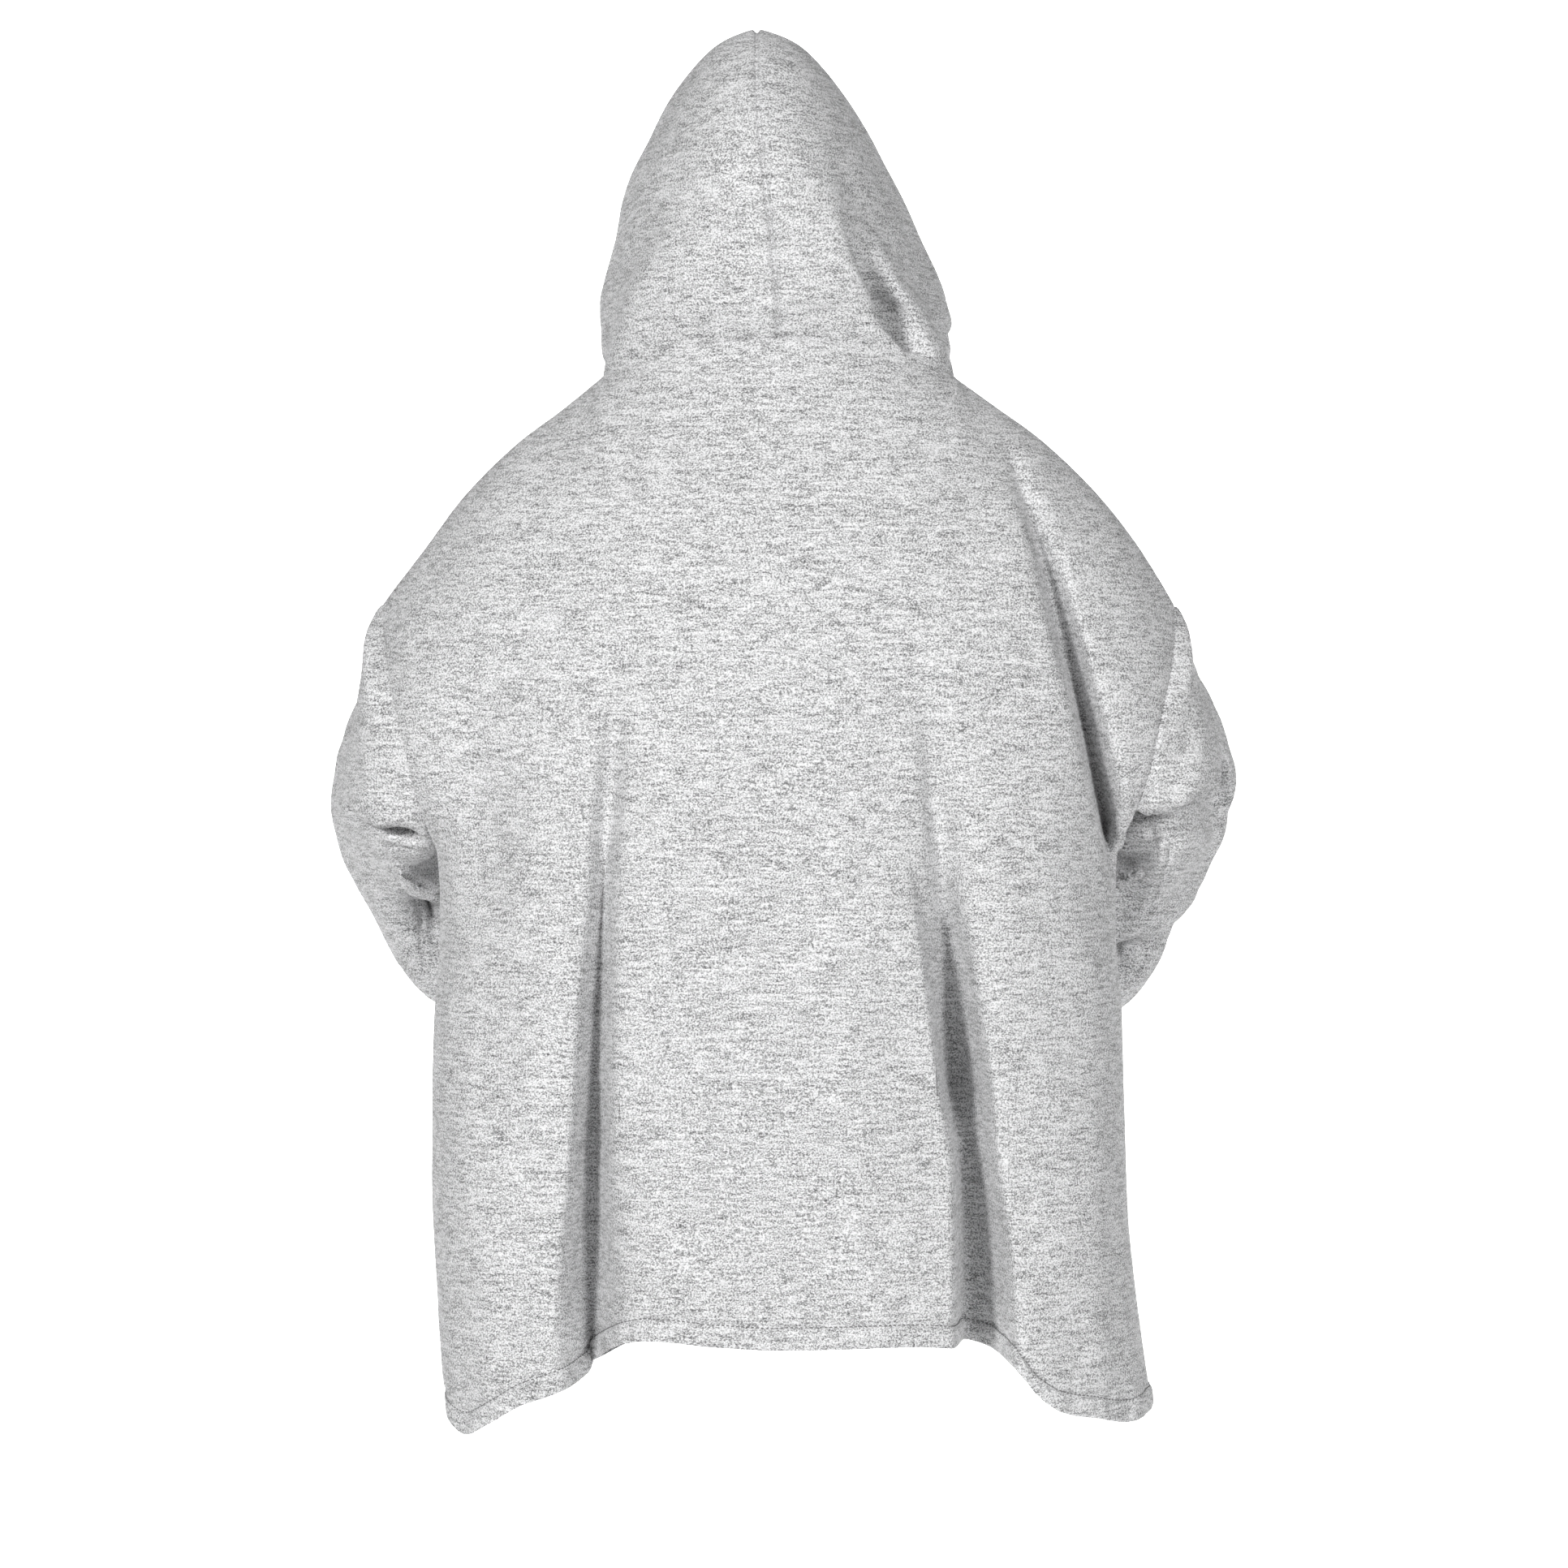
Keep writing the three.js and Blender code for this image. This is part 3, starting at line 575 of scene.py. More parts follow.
def seam_roll(distance):
    return SEAM_ROLL["depth"] * np.exp(-((distance / SEAM_ROLL["width"]) ** 2))


def hem_relief(distance):
    """Outward swell of a turned hem, with the groove that its stitches pull in."""
    step = HEM_SWELL["step"]
    swell = HEM_SWELL["height"] * (1 - smoothstep(distance, HEM_DEPTH - step, HEM_DEPTH + step))
    edge = HEM_EDGE["depth"] * np.exp(-((distance / HEM_EDGE["width"]) ** 2))
    from_stitches = (distance - HEM_DEPTH) / STITCH_GROOVE["width"]
    return swell - edge - STITCH_GROOVE["depth"] * np.exp(-(from_stitches**2))


def hem_pucker(distance, along, seed):
    """Small ripples that the stitches draw along a hem."""
    near = np.exp(-(((distance - HEM_DEPTH * HEM_PUCKER["place"]) / HEM_PUCKER["width"]) ** 2))
    ripple = 0
    for index, wave in enumerate(PUCKER_WAVES):
        hills = soft_noise(along, distance * wave["slant"], wave["size"], seed + HEM_PUCKER["seed"] + index)
        ripple = ripple + wave["height"] * hills
    return near * ripple


# Meshes
def new_object(name, data):
    made = bpy.data.objects.new(name, data)
    bpy.context.scene.collection.objects.link(made)
    return made


def piece_object(name, vertices, faces, material, layer_uv=None):
    """A smooth mesh object from points in millimetres, with a UV layer for cloth."""
    mesh = bpy.data.meshes.new(name)
    mesh.from_pydata((np.asarray(vertices) * MM).tolist(), [], faces)
    mesh.materials.append(material)
    mesh.polygons.foreach_set("use_smooth", [True] * len(mesh.polygons))
    if layer_uv is not None:
        corner = np.empty(len(mesh.loops), dtype=np.int32)
        mesh.loops.foreach_get("vertex_index", corner)
        layer = mesh.uv_layers.new(name="cloth")
        layer.uv.foreach_set("vector", (layer_uv[corner] * MM).astype(np.float32).ravel())
    mesh.validate()
    mesh.update()
    return new_object(name, mesh)


def cloth_wall(name, outer, directions, closed, turn, material):
    """Outer grid, the same grid moved inward, and a band of faces at each free edge."""
    rows, columns = outer.shape[:2]
    inner = outer + directions * CLOTH_THICKNESS
    vertices = np.concatenate([outer.reshape(-1, 3), inner.reshape(-1, 3)])
    across, along = run_lengths(outer, 1), run_lengths(outer, 0)
    uv = np.stack([across, -along], axis=-1).reshape(-1, 2)
    uv = np.concatenate([uv, uv])
    index = np.arange(rows * columns).reshape(rows, columns)
    if closed:
        index = np.concatenate([index, index[:, :1]], axis=1)
    layer = rows * columns
    a, b = index[:-1, :-1].ravel(), index[:-1, 1:].ravel()
    c, d = index[1:, 1:].ravel(), index[1:, :-1].ravel()
    quads = [np.stack([a, b, c, d], 1), np.stack([d, c, b, a], 1) + layer]
    top, low = index[0], index[-1]
    quads.append(np.stack([top[:-1] + layer, top[1:] + layer, top[1:], top[:-1]], 1))
    quads.append(np.stack([low[:-1], low[1:], low[1:] + layer, low[:-1] + layer], 1))
    if not closed:
        first, last = index[:, 0], index[:, -1]
        quads.append(np.stack([first[:-1], first[1:], first[1:] + layer, first[:-1] + layer], 1))
        quads.append(np.stack([last[:-1] + layer, last[1:] + layer, last[1:], last[:-1]], 1))
    faces = np.concatenate(quads)
    if turn < 0:
        faces = faces[:, ::-1]
    return piece_object(name, vertices, faces.tolist(), material, uv)


def pull_back(grid, sides):
    """The grid with its first row, and its sides if asked, half a gap off the seams."""
    half = SEAM_GAP / 2
    moved = grid.copy()
    moved[0] += unit(grid[1] - grid[0]) * half
    if sides:
        moved[:, 0] += unit(grid[:, 1] - grid[:, 0]) * half
        moved[:, -1] += unit(grid[:, -2] - grid[:, -1]) * half
    return moved


def stitch_row(name, line, outward, material):
    """A row of thread stitches along a line that lies on the cloth."""
    steps = np.linalg.norm(np.diff(line, axis=0), axis=1)
    run = np.concatenate([[0], np.cumsum(steps)])
    pitch, length, corners = STITCH["pitch"], STITCH["length"], STITCH["corners"]
    starts = np.arange(pitch, run[-1] - pitch, pitch)
    at = lambda places, values: np.stack([np.interp(places, run, values[:, k]) for k in range(3)], 1)
    head, tail = at(starts, line), at(starts + length, line)
    up = unit(at(starts + length / 2, outward))
    along = unit(tail - head)
    side = unit(np.cross(up, along))
    turn = np.arange(corners) * 2 * np.pi / corners
    vertices, faces = [], []
    for k in range(len(starts)):
        base = len(vertices)
        ring = side[k] * np.cos(turn)[:, None] + up[k] * np.sin(turn)[:, None]
        for share, swell, lift in STITCH_SECTIONS:
            centre = mixed(head[k], tail[k], share) + up[k] * lift
            vertices.extend((centre + ring * STITCH["radius"] * swell).tolist())
        for r in range(len(STITCH_SECTIONS) - 1):
            for c in range(corners):
                n = (c + 1) % corners
                low, high = base + r * corners, base + (r + 1) * corners
                faces.append((low + c, low + n, high + n, high + c))
        faces.append(tuple(base + c for c in reversed(range(corners))))
        top = base + (len(STITCH_SECTIONS) - 1) * corners
        faces.append(tuple(top + c for c in range(corners)))
    return piece_object(name, vertices, faces, material)


def hem_line(grid, directions):
    """Points of a grid's columns on the line of stitches above its last row."""
    lengths = run_lengths(grid, 0)
    lengths = (lengths[-1:] - lengths)[::-1]
    grid, directions = grid[::-1], directions[::-1]
    points, outward = [], []
    for j in range(grid.shape[1]):
        points.append([np.interp(HEM_DEPTH, lengths[:, j], grid[:, j, k]) for k in range(3)])
        outward.append([-np.interp(HEM_DEPTH, lengths[:, j], directions[:, j, k]) for k in range(3)])
    return np.array(points), np.array(outward)


# Materials. Layers of the heather: scale, detail and roughness of the noise, the two
# values between which it goes from dark to light, and its weight in the tone
HEATHER_LAYERS = {
    "streaks": {"scale": (62, 62, 430), "detail": 3.0, "rough": 0.6, "ends": (0.34, 0.66), "weight": 0.3},
    "bands": {"scale": (15, 15, 78), "detail": 2.0, "rough": 0.55, "ends": (0.32, 0.7), "weight": 0.06},
    "flecks": {"scale": (700, 700, 820), "detail": 1.0, "rough": 0.6, "ends": (0.4, 0.6), "weight": 0.4},
    "fibres": {"scale": (1250, 1250, 1500), "detail": 1.0, "rough": 0.5, "ends": (0.4, 0.6), "weight": 0.26},
}
HEATHER_GREYS = [(0.08, 0.10), (0.34, 0.36), (0.52, 0.62), (0.72, 0.82), (0.92, 0.90)]
HEATHER_BLUE = 1.01
HEATHER_SURFACE = {
    "Roughness": 0.95, "Specular IOR Level": 0.2, "Sheen Weight": 0.18, "Sheen Roughness": 0.6,
}
RELIEF_SHARES = {"flecks": 0.7, "streaks": 0.5}
RELIEF = {"Strength": 0.55, "Distance": 0.0009}
# Stitch thread: its very dark greys are partly the thread's own tone and partly painted shade, standing in
# for the shadow of the groove that the stitches pull in
THREAD_AND_GROOVE_SHADE = {
    "scale": (2400, 2400, 2400), "detail": 1.0, "rough": 0.5,
    "greys": [(0.3, 0.10), (0.7, 0.24)], "surface": 0.7,
}
GROUND = {
    "scale": (3, 3, 3), "detail": 2.0, "rough": 0.5,
    "greys": [(0.3, 0.90), (0.7, 0.92)], "surface": 0.9,
}


def set_inputs(made, values):
    for name, value in values.items():
        made.inputs[name].default_value = value


def new_material(name, surface_values):
    material = bpy.data.materials.new(name)
    material.use_nodes = True
    tree = material.node_tree
    surface = tree.nodes["Principled BSDF"]
    set_inputs(surface, surface_values)
    place = tree.nodes.new("ShaderNodeTexCoord").outputs["Object"]
    return material, tree, surface, place


def scaled_noise(tree, place, layer):
    mapping = tree.nodes.new("ShaderNodeMapping")
    set_inputs(mapping, {"Scale": layer["scale"]})
    tree.links.new(place, mapping.inputs["Vector"])
    noise = tree.nodes.new("ShaderNodeTexNoise")
    set_inputs(noise, {"Scale": 1.0, "Detail": layer["detail"], "Roughness": layer["rough"]})
    tree.links.new(mapping.outputs["Vector"], noise.inputs["Vector"])
    return noise.outputs["Fac"]


def ramp(tree, value, stops, blue=1.0):
    made = tree.nodes.new("ShaderNodeValToRGB")
    elements = made.color_ramp.elements
    while len(elements) < len(stops):
        elements.new(0.5)
    for element, (place, grey) in zip(elements, stops):
        element.position = place
        element.color = (grey, grey, grey * blue, 1)
    tree.links.new(value, made.inputs["Fac"])
    return made.outputs["Color"]


def combined(tree, operation, a, b):
    made = tree.nodes.new("ShaderNodeMath")
    made.operation = operation
    for socket, value in zip(made.inputs, (a, b)):
        if hasattr(value, "is_output"):
            tree.links.new(value, socket)
        else:
            socket.default_value = value
    return made.outputs["Value"]


def weighted_sum(tree, parts):
    """Sum of outputs, each times its weight."""
    total = None
    for output, weight in parts:
        part = combined(tree, "MULTIPLY", output, weight)
        total = part if total is None else combined(tree, "ADD", total, part)
    return total


def heather_material(name):
    """Heather grey fleece: short dark and light streaks along the courses of the
    knit, broad uneven bands, flecks and fine single fibres."""
    material, tree, surface, place = new_material(name, HEATHER_SURFACE)
    noises, tones = {}, []
    for key, layer in HEATHER_LAYERS.items():
        noises[key] = scaled_noise(tree, place, layer)
        dark, light = layer["ends"]
        tones.append((ramp(tree, noises[key], [(dark, 0.0), (light, 1.0)]), layer["weight"]))
    colour = ramp(tree, weighted_sum(tree, tones), HEATHER_GREYS, HEATHER_BLUE)
    tree.links.new(colour, surface.inputs["Base Color"])
    relief = tree.nodes.new("ShaderNodeBump")
    set_inputs(relief, RELIEF)
    height = weighted_sum(tree, [(noises[key], share) for key, share in RELIEF_SHARES.items()])
    tree.links.new(height, relief.inputs["Height"])
    tree.links.new(relief.outputs["Normal"], surface.inputs["Normal"])
    return material


def plain_material(name, look):
    material, tree, surface, place = new_material(name, {"Roughness": look["surface"]})
    tone = ramp(tree, scaled_noise(tree, place, look), look["greys"])
    tree.links.new(tone, surface.inputs["Base Color"])
    return material


# Pieces of cloth
def crowded(count, crowd_start, crowd_end):
    """Shares from 0 to 1 in equal steps, with extra ones close to either end."""
    shares = np.linspace(0, 1, count + 1)
    extra = np.array(CROWDED_STEPS) * shares[1]
    parts = [shares]
    if crowd_start:
        parts.append(extra)
    if crowd_end:
        parts.append(1 - extra)
    return np.unique(np.concatenate(parts))


def panel_columns(face, scale):
    neck_share = NECK["half_width"] / DROP_X
    neck = neck_share * np.sin(np.linspace(-np.pi / 2, np.pi / 2, round(NECK_CELLS * scale) + 1))
    left = -mixed(neck_share, 1, crowded(round(SHOULDER_CELLS["left"] * scale), False, True))[1:]
    right = mixed(neck_share, 1, crowded(round(SHOULDER_CELLS["right"] * scale), False, True))[1:]
    columns = np.concatenate([left[::-1], neck, right])
    middles = (columns[1:] + columns[:-1]) / 2
    wanted = np.zeros(len(middles), bool)
    for low, high in FINE_COLUMNS[face]:
        wanted |= (middles > low) & (middles < high)
    return np.unique(np.concatenate([columns, middles[wanted]]))


def panel_rows(scale):
    arm = UNDERARM_SHARE * crowded(round(ARMHOLE_ROWS * scale), True, False) ** ARMHOLE_CROWDING
    skirt = mixed(UNDERARM_SHARE, 1, np.linspace(0, 1, round(SKIRT_ROWS * scale) + 1))[1:]
    hem = 1 - np.array(HEM_ROWS)
    return np.unique(np.concatenate([arm, skirt, hem]))


def panel_directions(grid, columns, rows, turn, reach):
    """Inward directions of a panel, which turn to those of its seams near its edges."""
    directions = grid_directions(grid, False, turn)
    across, down = run_lengths(grid, 1), run_lengths(grid, 0)
    on_neck = (np.abs(columns) <= NECK["half_width"] / DROP_X + ON_EDGE)[:, None]
    top = np.where(on_neck, neck_direction(grid[0]), edge_direction(grid[0], directions[0], 1))
    by_arm = (rows <= UNDERARM_SHARE + ON_EDGE)[:, None]
    sides = []
    for column, side in ((0, "left"), (-1, "right")):
        line = grid[:, column]
        below = edge_direction(line, directions[:, column], 1)
        sides.append(np.where(by_arm, armhole_direction(side, line), below))
    directions = toward_edge(directions, top[None], down, reach)
    directions = toward_edge(directions, sides[0][:, None], across, reach)
    return toward_edge(directions, sides[1][:, None], across[:, -1:] - across, reach)


def make_panel(face, scale, material, seed):
    columns, rows = panel_columns(face, scale), panel_rows(scale)
    turn = FACES[face]
    grid = body_point(face, columns[None, :], rows[:, None])
    across, down = run_lengths(grid, 1), run_lengths(grid, 0)
    from_side = np.minimum(across, across[:, -1:] - across)
    from_hem = down[-1:] - down
    x, z = grid[..., 0], grid[..., 2]
    calm = smoothstep(from_side, 0, PANEL_CALM["side"]) * smoothstep(down, 0, PANEL_CALM["top"])
    lower = smoothstep(-z, PANEL_LOWER["from"], PANEL_LOWER["to"])
    wrinkles = 0
    for row in PANEL_WRINKLES:
        hills = soft_noise(
            x * row["across"] + z * row["slant"], z * row["down"], row["size"], seed + row["seed"]
        )
        wrinkles = wrinkles + hills * mixed(row["upper"], row["lower"], lower)
    on_shoulder = np.abs(columns)[None, :] * DROP_X > NECK["half_width"]
    below_arm = rows[:, None] > UNDERARM_SHARE
    top_roll = seam_roll(down) * np.where(on_shoulder, ROLL_SHARES["shoulder"], ROLL_SHARES["neck"])
    by_arm = np.where(columns < 0, ARMHOLE_ROLL["left"], ARMHOLE_ROLL["right"])[None, :]
    side_roll = seam_roll(from_side) * np.where(below_arm, ROLL_SHARES["side"], by_arm)
    inward = np.maximum(top_roll, side_roll) - wrinkles * calm - hem_relief(from_hem)
    inward = inward - hem_pucker(from_hem, across, seed) * smoothstep(from_side, 0, HEM_PUCKER["calm"])
    grid = grid + panel_directions(grid, columns, rows, turn, SEAM_REACH) * inward[..., None]
    directions = panel_directions(grid, columns, rows, turn, CLOTH_THICKNESS)
    grid = pull_back(grid, sides=True)
    made = cloth_wall(f"{face}_panel_cloth", grid, directions, False, turn, material)
    return made, hem_line(grid, directions)


def armhole_loop(side, count):
    u = float(SIDES[side])
    v = UNDERARM_SHARE * np.linspace(0, 1, count + 1)
    back = body_point("back", u, v)
    front = body_point("front", u, v[1:-1])[::-1]
    return np.concatenate([back, front])


def sleeve_ring(side, share):
    """Centre, half width outward and half height of the sleeve's rings."""
    value = lambda column: table_value(SLEEVE_TABLE, "share", share, column)
    sign = SIDES[side]
    z = value("z")
    inner = np.stack([sign * value("inner_x"), value("inner_y"), z], -1)
    outer = np.stack([sign * value("outer_x"), value("outer_y"), z], -1)
    return (inner + outer) / 2, (outer - inner) / 2, value("half")


def elbow_fold(side, share, angle):
    """Depth of the elbow fold and how far its cloth moves down."""
    fold, span, wide = ELBOW_FOLD[side], ELBOW_SPAN[side], ELBOW_WIDTHS[side]
    line = table_value(ELBOW_LINE[side], "angle", angle, "share")
    past = (share - line) * ELBOW_SCALE * ELBOW_LEAN
    reach = smoothstep(angle, span["start"], span["full"])
    reach = reach * (1 - smoothstep(angle, span["fade"], span["end"]))
    reach = reach * smoothstep(share, 0, ELBOW_BLEND)
    recess = fold["depth"] * bump(past - wide["edge"], wide["edge"], wide["recess"])
    recess = recess + fold["crevice"] * bump(past - wide["edge"], wide["edge"], wide["crevice"])
    roll = fold["bulge"] * bump(past + wide["roll"] / 2, wide["roll"], wide["edge"])
    hang = fold["overhang"] * bump(past + wide["edge"], wide["roll"], wide["edge"])
    return (recess - roll) * reach, hang * reach


def sleeve_creases(side, share, angle):
    depth = 0
    for crease in named_rows(SLEEVE_CREASES[side], CREASE_COLUMNS):
        across = bump(angle - crease["angle"], crease["span"], crease["span"])
        along = bump(share - crease["share"], crease["before"], crease["after"])
        depth = depth + crease["depth"] * across * along
    return depth


def make_sleeve(side, material, seed):
    loop = armhole_loop(side, SLEEVE_LOOP_CELLS)
    count = len(loop)
    share = crowded(SLEEVE_CELLS_ALONG, True, True)
    middles = (share[1:] + share[:-1]) / 2
    fine = (middles > SLEEVE_FINE_SPAN[0]) & (middles < SLEEVE_FINE_SPAN[1])
    share = np.unique(np.concatenate([share, middles[fine]]))
    angle = 360.0 * np.arange(count) / count
    centre, outward, half = sleeve_ring(side, share)
    ahead = sleeve_ring(side, np.minimum(share + TANGENT_STEP, 1))[0]
    behind = sleeve_ring(side, np.maximum(share - TANGENT_STEP, 0))[0]
    along = unit(ahead - behind)
    width = np.linalg.norm(outward, axis=-1)
    out = unit(outward)
    across = unit(np.cross(along, out) * -SIDES[side])
    lean = smoothstep(share, 0, SLEEVE_TURN)[:, None]
    up = unit(np.array([0.0, 0.0, 1.0]) * (1 - lean) + across * lean)
    blend = smoothstep(share, 0, SLEEVE_BLEND)[:, None]
    creases = sleeve_creases(side, share[:, None], angle[None, :]) * blend
    elbow, hang = elbow_fold(side, share[:, None], angle[None, :])
    turn_angle = np.radians(angle)[None, :]
    sideways = (width[:, None] - creases) * np.sin(turn_angle)
    upward = (half[:, None] - creases) * np.cos(turn_angle)
    tube = centre[:, None] + out[:, None] * sideways[..., None] + up[:, None] * upward[..., None]
    moved = loop[None] + (centre - centre[:1])[:, None]
    grid = moved * (1 - blend[..., None]) + tube * blend[..., None]
    turn = SIDES[side]
    recess = unit(np.array([SIDES[side] * ELBOW_RECESS["x"], ELBOW_RECESS["y"], ELBOW_RECESS["z"]]))
    grid = grid + recess * elbow[..., None]
    grid[..., 2] -= hang
    for cap in SLEEVE_CAPS[side]:
        bulge = cap["out"] * bump(share[:, None] - cap["share"], cap["width"], cap["width"])
        bulge = bulge * bump(angle[None, :] - cap["angle"], cap["span"], cap["span"])
        grid[..., 0] += SIDES[side] * bulge * smoothstep(share[:, None], 0, SLEEVE_CAP_START)
    directions = grid_directions(grid, True, turn)
    down = run_lengths(grid, 0)
    from_end = down[-1:] - down
    calm = smoothstep(down, 0, SLEEVE_CALM) * smoothstep(from_end, SLEEVE_HEM["calm"], SLEEVE_CALM)
    swirl = np.sin(turn_angle) * SLEEVE_SWIRL
    wrinkles = 0
    for row in SLEEVE_WRINKLES:
        hills = soft_noise(down * row["along"], swirl + angle * row["turn"], row["size"], seed + row["seed"])
        wrinkles = wrinkles + hills * row["height"]
    inward = -wrinkles * calm + seam_roll(down) * ARMHOLE_ROLL[side]
    seam = UNDERARM_SEAM
    turned = smoothstep(share, 0, seam["turned"]) * (1 - smoothstep(share, seam["from"], 1))
    seam_angle = seam["angle"] + seam["turn"] * turned
    underarm = np.radians(angle[None, :] - seam_angle[:, None]) * half[:, None]
    groove = seam["depth"] * np.exp(-((underarm / seam["width"]) ** 2))
    inward = inward + groove * smoothstep(from_end, SLEEVE_HEM["seam_from"], SLEEVE_HEM["seam_to"])
    around = np.broadcast_to(angle * SLEEVE_HEM["pucker_turn"], down.shape)
    inward = inward - hem_relief(from_end) - hem_pucker(from_end, around, seed)
    directions = toward_edge(directions, armhole_direction(side, grid[0])[None], down, SEAM_REACH)
    grid = grid + directions * inward[..., None]
    directions = grid_directions(grid, True, turn)
    down = run_lengths(grid, 0)
    directions = toward_edge(directions, armhole_direction(side, grid[0])[None], down, CLOTH_THICKNESS)
    grid = pull_back(grid, sides=False)
    made = cloth_wall(f"sleeve_{side}_cloth", grid, directions, True, turn, material)
    points, outward = hem_line(grid, directions)
    closed = lambda values: np.concatenate([values, values[:1]])
    return made, (closed(points), closed(outward))


def hood_point(side, share, angle):
    """Points of a hood half at shares from neck to face and angles from crown to chin."""
    share, angle = np.broadcast_arrays(np.asarray(share, float), np.asarray(angle, float))
    turn = np.radians(angle)
    down = (1 - np.cos(turn)) / 2
    crown_y = table_value(CROWN_LINE, "share", share, "y")
    crown_z = table_value(CROWN_LINE, "share", share, "z")
    chin_y = CHIN["y"] + CHIN["forward"] * share
    chin_z = CHIN["z"] + CHIN["rise"] * share
    arch = table_value(HOOD_WIDTHS, "down", down, "half")
    oval = NECK["half_width"] * np.sin(turn)
    half = mixed(oval, arch, smoothstep(share, 0, HOOD_BLEND_END))
    half = half * mixed(1, FACE_NARROWING[side], smoothstep(share, FACE_NARROWING["from"], 1))
    flare = FACE_FLARE[side] * smoothstep(share, FACE_FLARE["from"], 1)
    beside = bump(down - FACE_FLARE["down"], FACE_FLARE["reach"], FACE_FLARE["reach"])
    half = half + flare * beside * np.sin(turn)
    lean = HOOD_LEAN["x"] * smoothstep(share, 0, HOOD_LEAN["share"])
    lean = lean * (1 - smoothstep(down, HOOD_LEAN["from"], HOOD_LEAN["to"]))
    x = SIDES[side] * half + lean
    y = mixed(crown_y, chin_y, down)
    z = mixed(crown_z, chin_z, down)
    behind = 1 - smoothstep(y, -HOOD_CALM["front"], HOOD_CALM["front"])
    calm = smoothstep(share, 0, HOOD_CALM["neck"]) * behind
    return np.stack([x, y + fold_depth(HOOD_FOLDS, x, z, 1) * calm, z], axis=-1)


def neck_seam(side, angle):
    """The neck oval at angles from the nape, on the panels' own top edge."""
    turn = np.radians(angle)
    x = SIDES[side] * NECK["half_width"] * np.sin(turn)
    behind = angle <= 90
    u = x / DROP_X
    back_y, back_z = top_edge("back", u)
    front_y, front_z = top_edge("front", u)
    y = np.where(behind, -back_y, front_y)
    return np.stack([x, y, np.where(behind, back_z, front_z)], axis=-1)


def hood_directions(grid, turn, reach):
    """Inward directions of a hood half, which turn to those of its seams."""
    directions = grid_directions(grid, False, turn)
    down, across = run_lengths(grid, 0), run_lengths(grid, 1)
    crown = edge_direction(grid[:, 0], directions[:, 0], 0)
    chin = edge_direction(grid[:, -1], directions[:, -1], 0)
    directions = toward_edge(directions, crown[:, None], across, reach)
    directions = toward_edge(directions, chin[:, None], across[:, -1:] - across, reach)
    return toward_edge(directions, neck_direction(grid[0])[None], down, reach)


def make_hood_half(side, material, seed):
    cells = HOOD_CELLS[side]
    angle = np.concatenate([CROWN_ANGLES, np.linspace(CROWN_ANGLES_END, 180, cells["across"])])
    share = crowded(cells["along"], True, False)
    share = np.unique(np.concatenate([share, 1 - np.array(HOOD_HEM_ROWS)]))
    grid = hood_point(side, share[:, None], angle[None, :])
    grid[0] = neck_seam(side, angle)
    turn = SIDES[side]
    down, across = run_lengths(grid, 0), run_lengths(grid, 1)
    from_face, from_crown = down[-1:] - down, across
    from_chin = across[:, -1:] - across
    quiet = HOOD_WRINKLE_CALM
    calm = smoothstep(from_crown, 0, quiet["crown"]) * smoothstep(from_chin, 0, quiet["chin"])
    calm = calm * smoothstep(down, quiet["neck_from"], quiet["neck_to"])
    x, y, z = grid[..., 0], grid[..., 1], grid[..., 2]
    nape = np.exp(-(((z - NAPE["z"]) / NAPE["width"]) ** 2))
    wrinkles = 0
    for row in HOOD_WRINKLES:
        place = x * row["across"] + y * row["forward"] + z * row["slant"]
        hills = soft_noise(place, z * row["down"], row["size"], seed + row["seed"])
        wrinkles = wrinkles + hills * row["height"] * mixed(1, nape, row["nape"])
    inward = -wrinkles * calm
    for seam, distance in (("neck", down), ("crown", from_crown), ("chin", from_chin)):
        inward = inward + seam_roll(distance) * ROLL_SHARES[seam]
    if side == "right":
        behind = 1 - smoothstep(y, HOOD_PLEAT_REACH["from"], HOOD_PLEAT_REACH["to"])
        ends = smoothstep(down, 0, HOOD_PLEAT_ENDS["neck"])
        ends = ends * smoothstep(from_face, HOOD_PLEAT_ENDS["face_from"], HOOD_PLEAT_ENDS["face_to"])
        inward = inward + fold_depth(HOOD_PLEATS, x, z, 1, pleat) * behind * ends
    inward = inward - hem_relief(from_face) * smoothstep(from_chin, 0, HOOD_HEM_START)
    puckers = hem_pucker(from_face, across, seed)
    for distance in (from_chin, from_crown):
        puckers = puckers * smoothstep(distance, 0, HEM_PUCKER["calm"])
    inward = inward - puckers
    grid = grid + hood_directions(grid, turn, SEAM_REACH) * inward[..., None]
    directions = hood_directions(grid, turn, CLOTH_THICKNESS)
    grid = pull_back(grid, sides=True)
    made = cloth_wall(f"hood_{side}_cloth", grid, directions, False, turn, material)
    return made, hem_line(grid, directions)


# Camera, light and ground, in metres
CAMERA = {"x": 0.0045, "distance": 3.5, "z": -0.333, "lens": 101.1, "sensor": 36.0}
# Name, place, target, width and height, and power of each light
LIGHTS = [
    ("key", (-2.05, -3.45, 0.75), (0, 0, -0.45), (0.7, 0.7), 105),
    ("second_key", (1.85, -3.65, 0.65), (0, 0, -0.45), (0.7, 0.7), 83),
    ("backdrop_light", (0, 2.7, 1.9), (0, 4.6, -0.4), (4.6, 1.0), 330),
]
WORLD_STRENGTH = 0.13
# A floor that bends up into a backdrop
SWEEP = {"half": 6.0, "front": -1.3, "back": 4.6, "floor": -1.48, "height": 6.0, "radius": 0.8, "steps": 12}


def make_camera():
    data = bpy.data.cameras.new("view_from_behind")
    data.lens = CAMERA["lens"]
    data.sensor_width = CAMERA["sensor"]
    made = new_object("view_from_behind", data)
    made.location = (CAMERA["x"], -CAMERA["distance"], CAMERA["z"])
    made.rotation_euler = (math.pi / 2, 0, 0)
    bpy.context.scene.camera = made


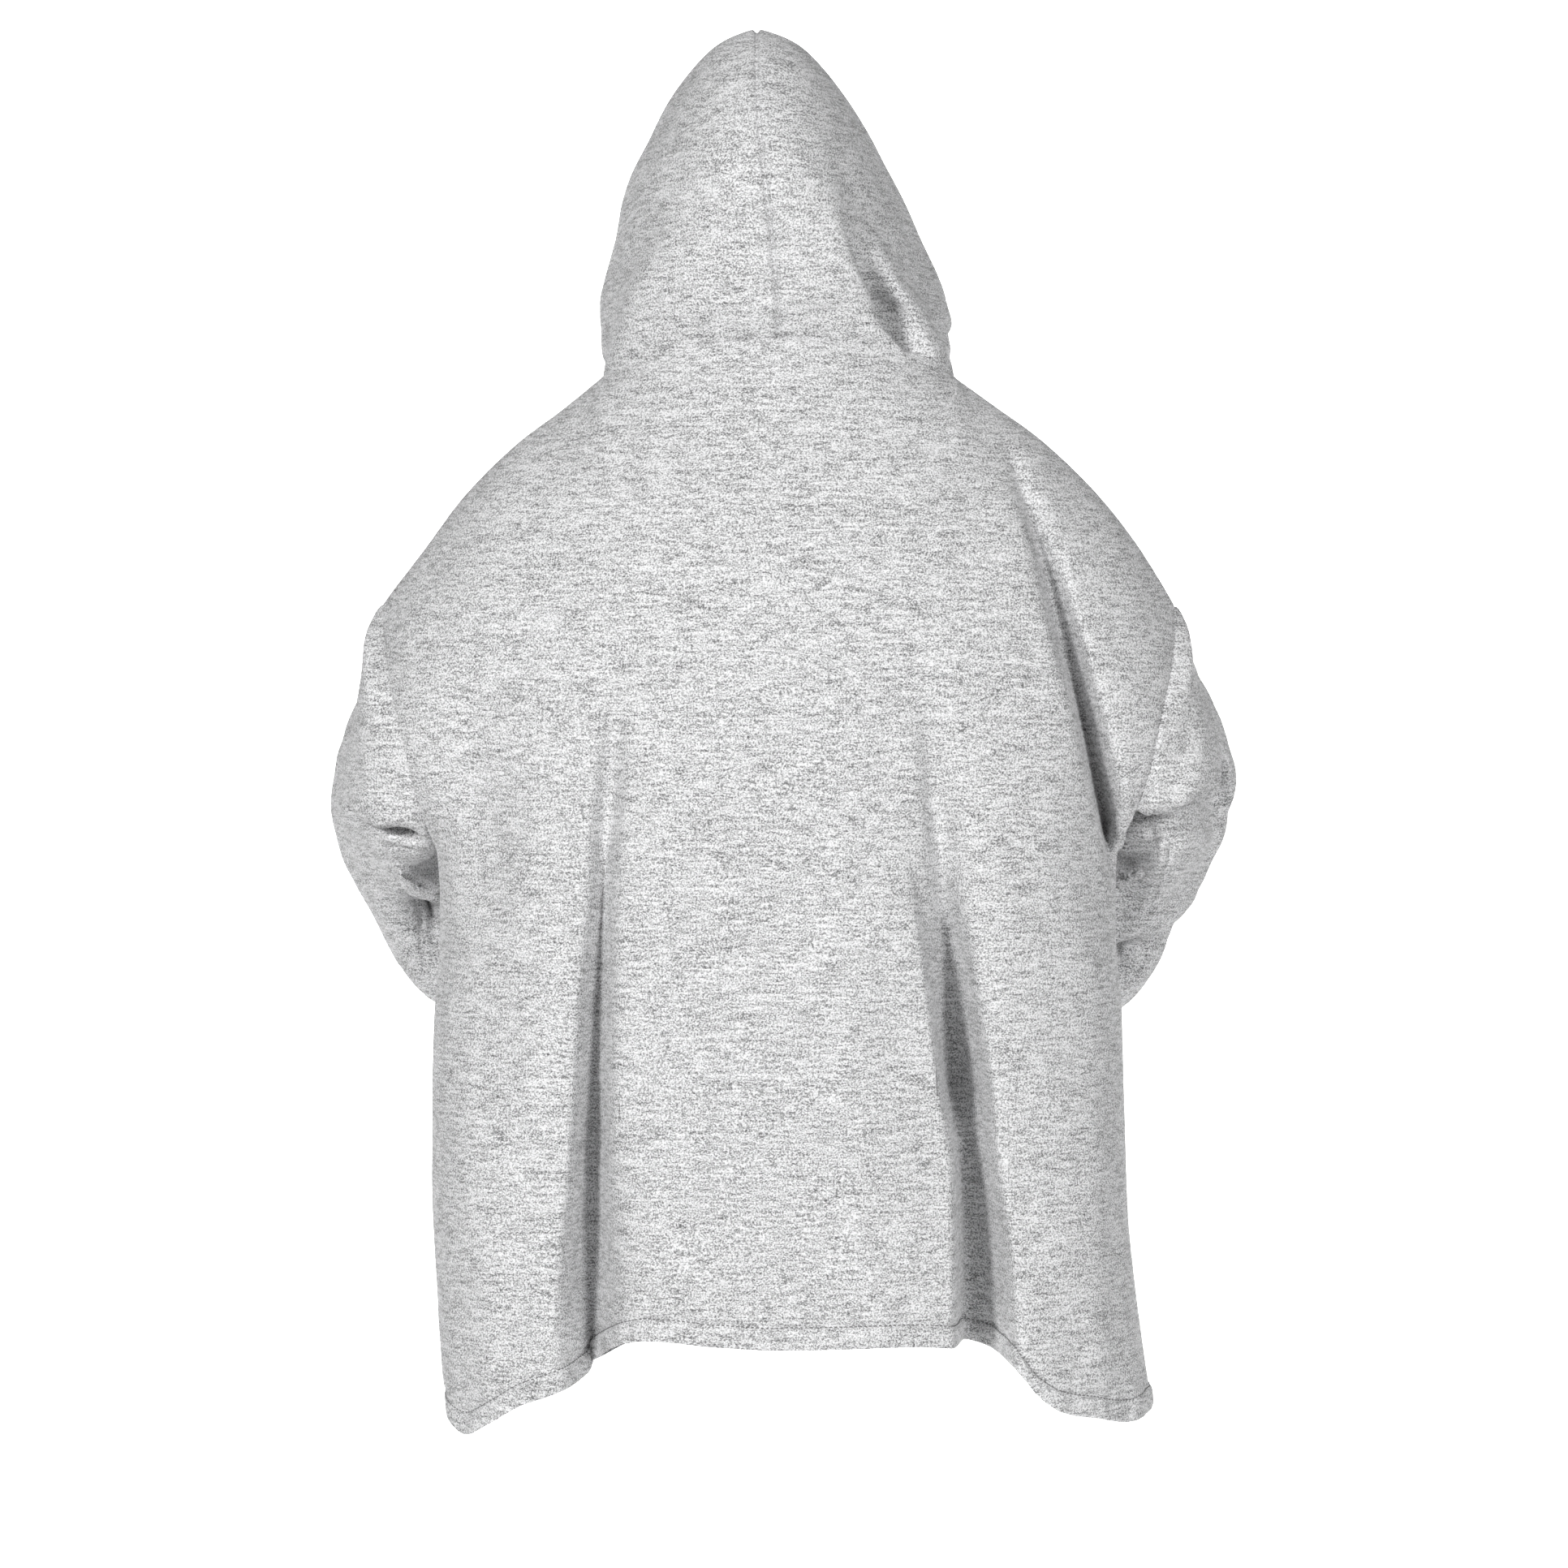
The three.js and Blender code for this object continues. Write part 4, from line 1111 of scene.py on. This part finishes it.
def make_light(name, place, target, size, energy):
    data = bpy.data.lights.new(name, "AREA")
    data.shape = "RECTANGLE"
    data.size, data.size_y = size
    data.energy = energy
    made = new_object(name, data)
    made.location = place
    made.rotation_euler = (Vector(target) - Vector(place)).to_track_quat("-Z", "Y").to_euler()


def make_stage():
    half, floor, back, radius = SWEEP["half"], SWEEP["floor"], SWEEP["back"], SWEEP["radius"]
    profile = [(SWEEP["front"], floor), (back - radius, floor)]
    for k in range(1, SWEEP["steps"] + 1):
        turn = math.pi / 2 * k / SWEEP["steps"]
        profile.append((back - radius + radius * math.sin(turn), floor + radius * (1 - math.cos(turn))))
    profile.append((back, floor + SWEEP["height"]))
    vertices = [(x, y, z) for y, z in profile for x in (-half, half)]
    faces = [(2 * k, 2 * k + 1, 2 * k + 3, 2 * k + 2) for k in range(len(profile) - 1)]
    mesh = bpy.data.meshes.new("studio_sweep")
    mesh.from_pydata(vertices, [], faces)
    mesh.materials.append(plain_material("studio_white", GROUND))
    mesh.polygons.foreach_set("use_smooth", [True] * len(mesh.polygons))
    sweep = new_object("studio_sweep", mesh)


def make_world():
    world = bpy.data.worlds.new("studio")
    world.use_nodes = True
    set_inputs(world.node_tree.nodes["Background"], {"Color": (1, 1, 1, 1), "Strength": WORLD_STRENGTH})
    bpy.context.scene.world = world


make_camera()
make_world()
make_stage()
for light in LIGHTS:
    make_light(*light)
bpy.context.scene.view_settings.view_transform = "Standard"

fleece = heather_material("heather_fleece_cloth")
# Material of the stitches, whose dark greys carry painted shade of the stitch groove
thread = plain_material("thread_with_painted_groove_shade", THREAD_AND_GROOVE_SHADE)


def finish_piece(name, made, stitch_line, rests_on):
    stitches = stitch_row(f"{name}_hem_stitches", *stitch_line, thread)
    for piece in (made, stitches):
        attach(piece, "root")
    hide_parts(name)
    return made


back = finish_piece("back_panel", *make_panel("back", 1.0, fleece, 11), [])
finish_piece("front_panel", *make_panel("front", FRONT_SHARE, fleece, 23), [])
for side, seed in (("left", 37), ("right", 41)):
    finish_piece(f"sleeve_{side}", *make_sleeve(side, fleece, seed), [back])
    finish_piece(f"hood_{side}", *make_hood_half(side, fleece, seed + 30), [back])
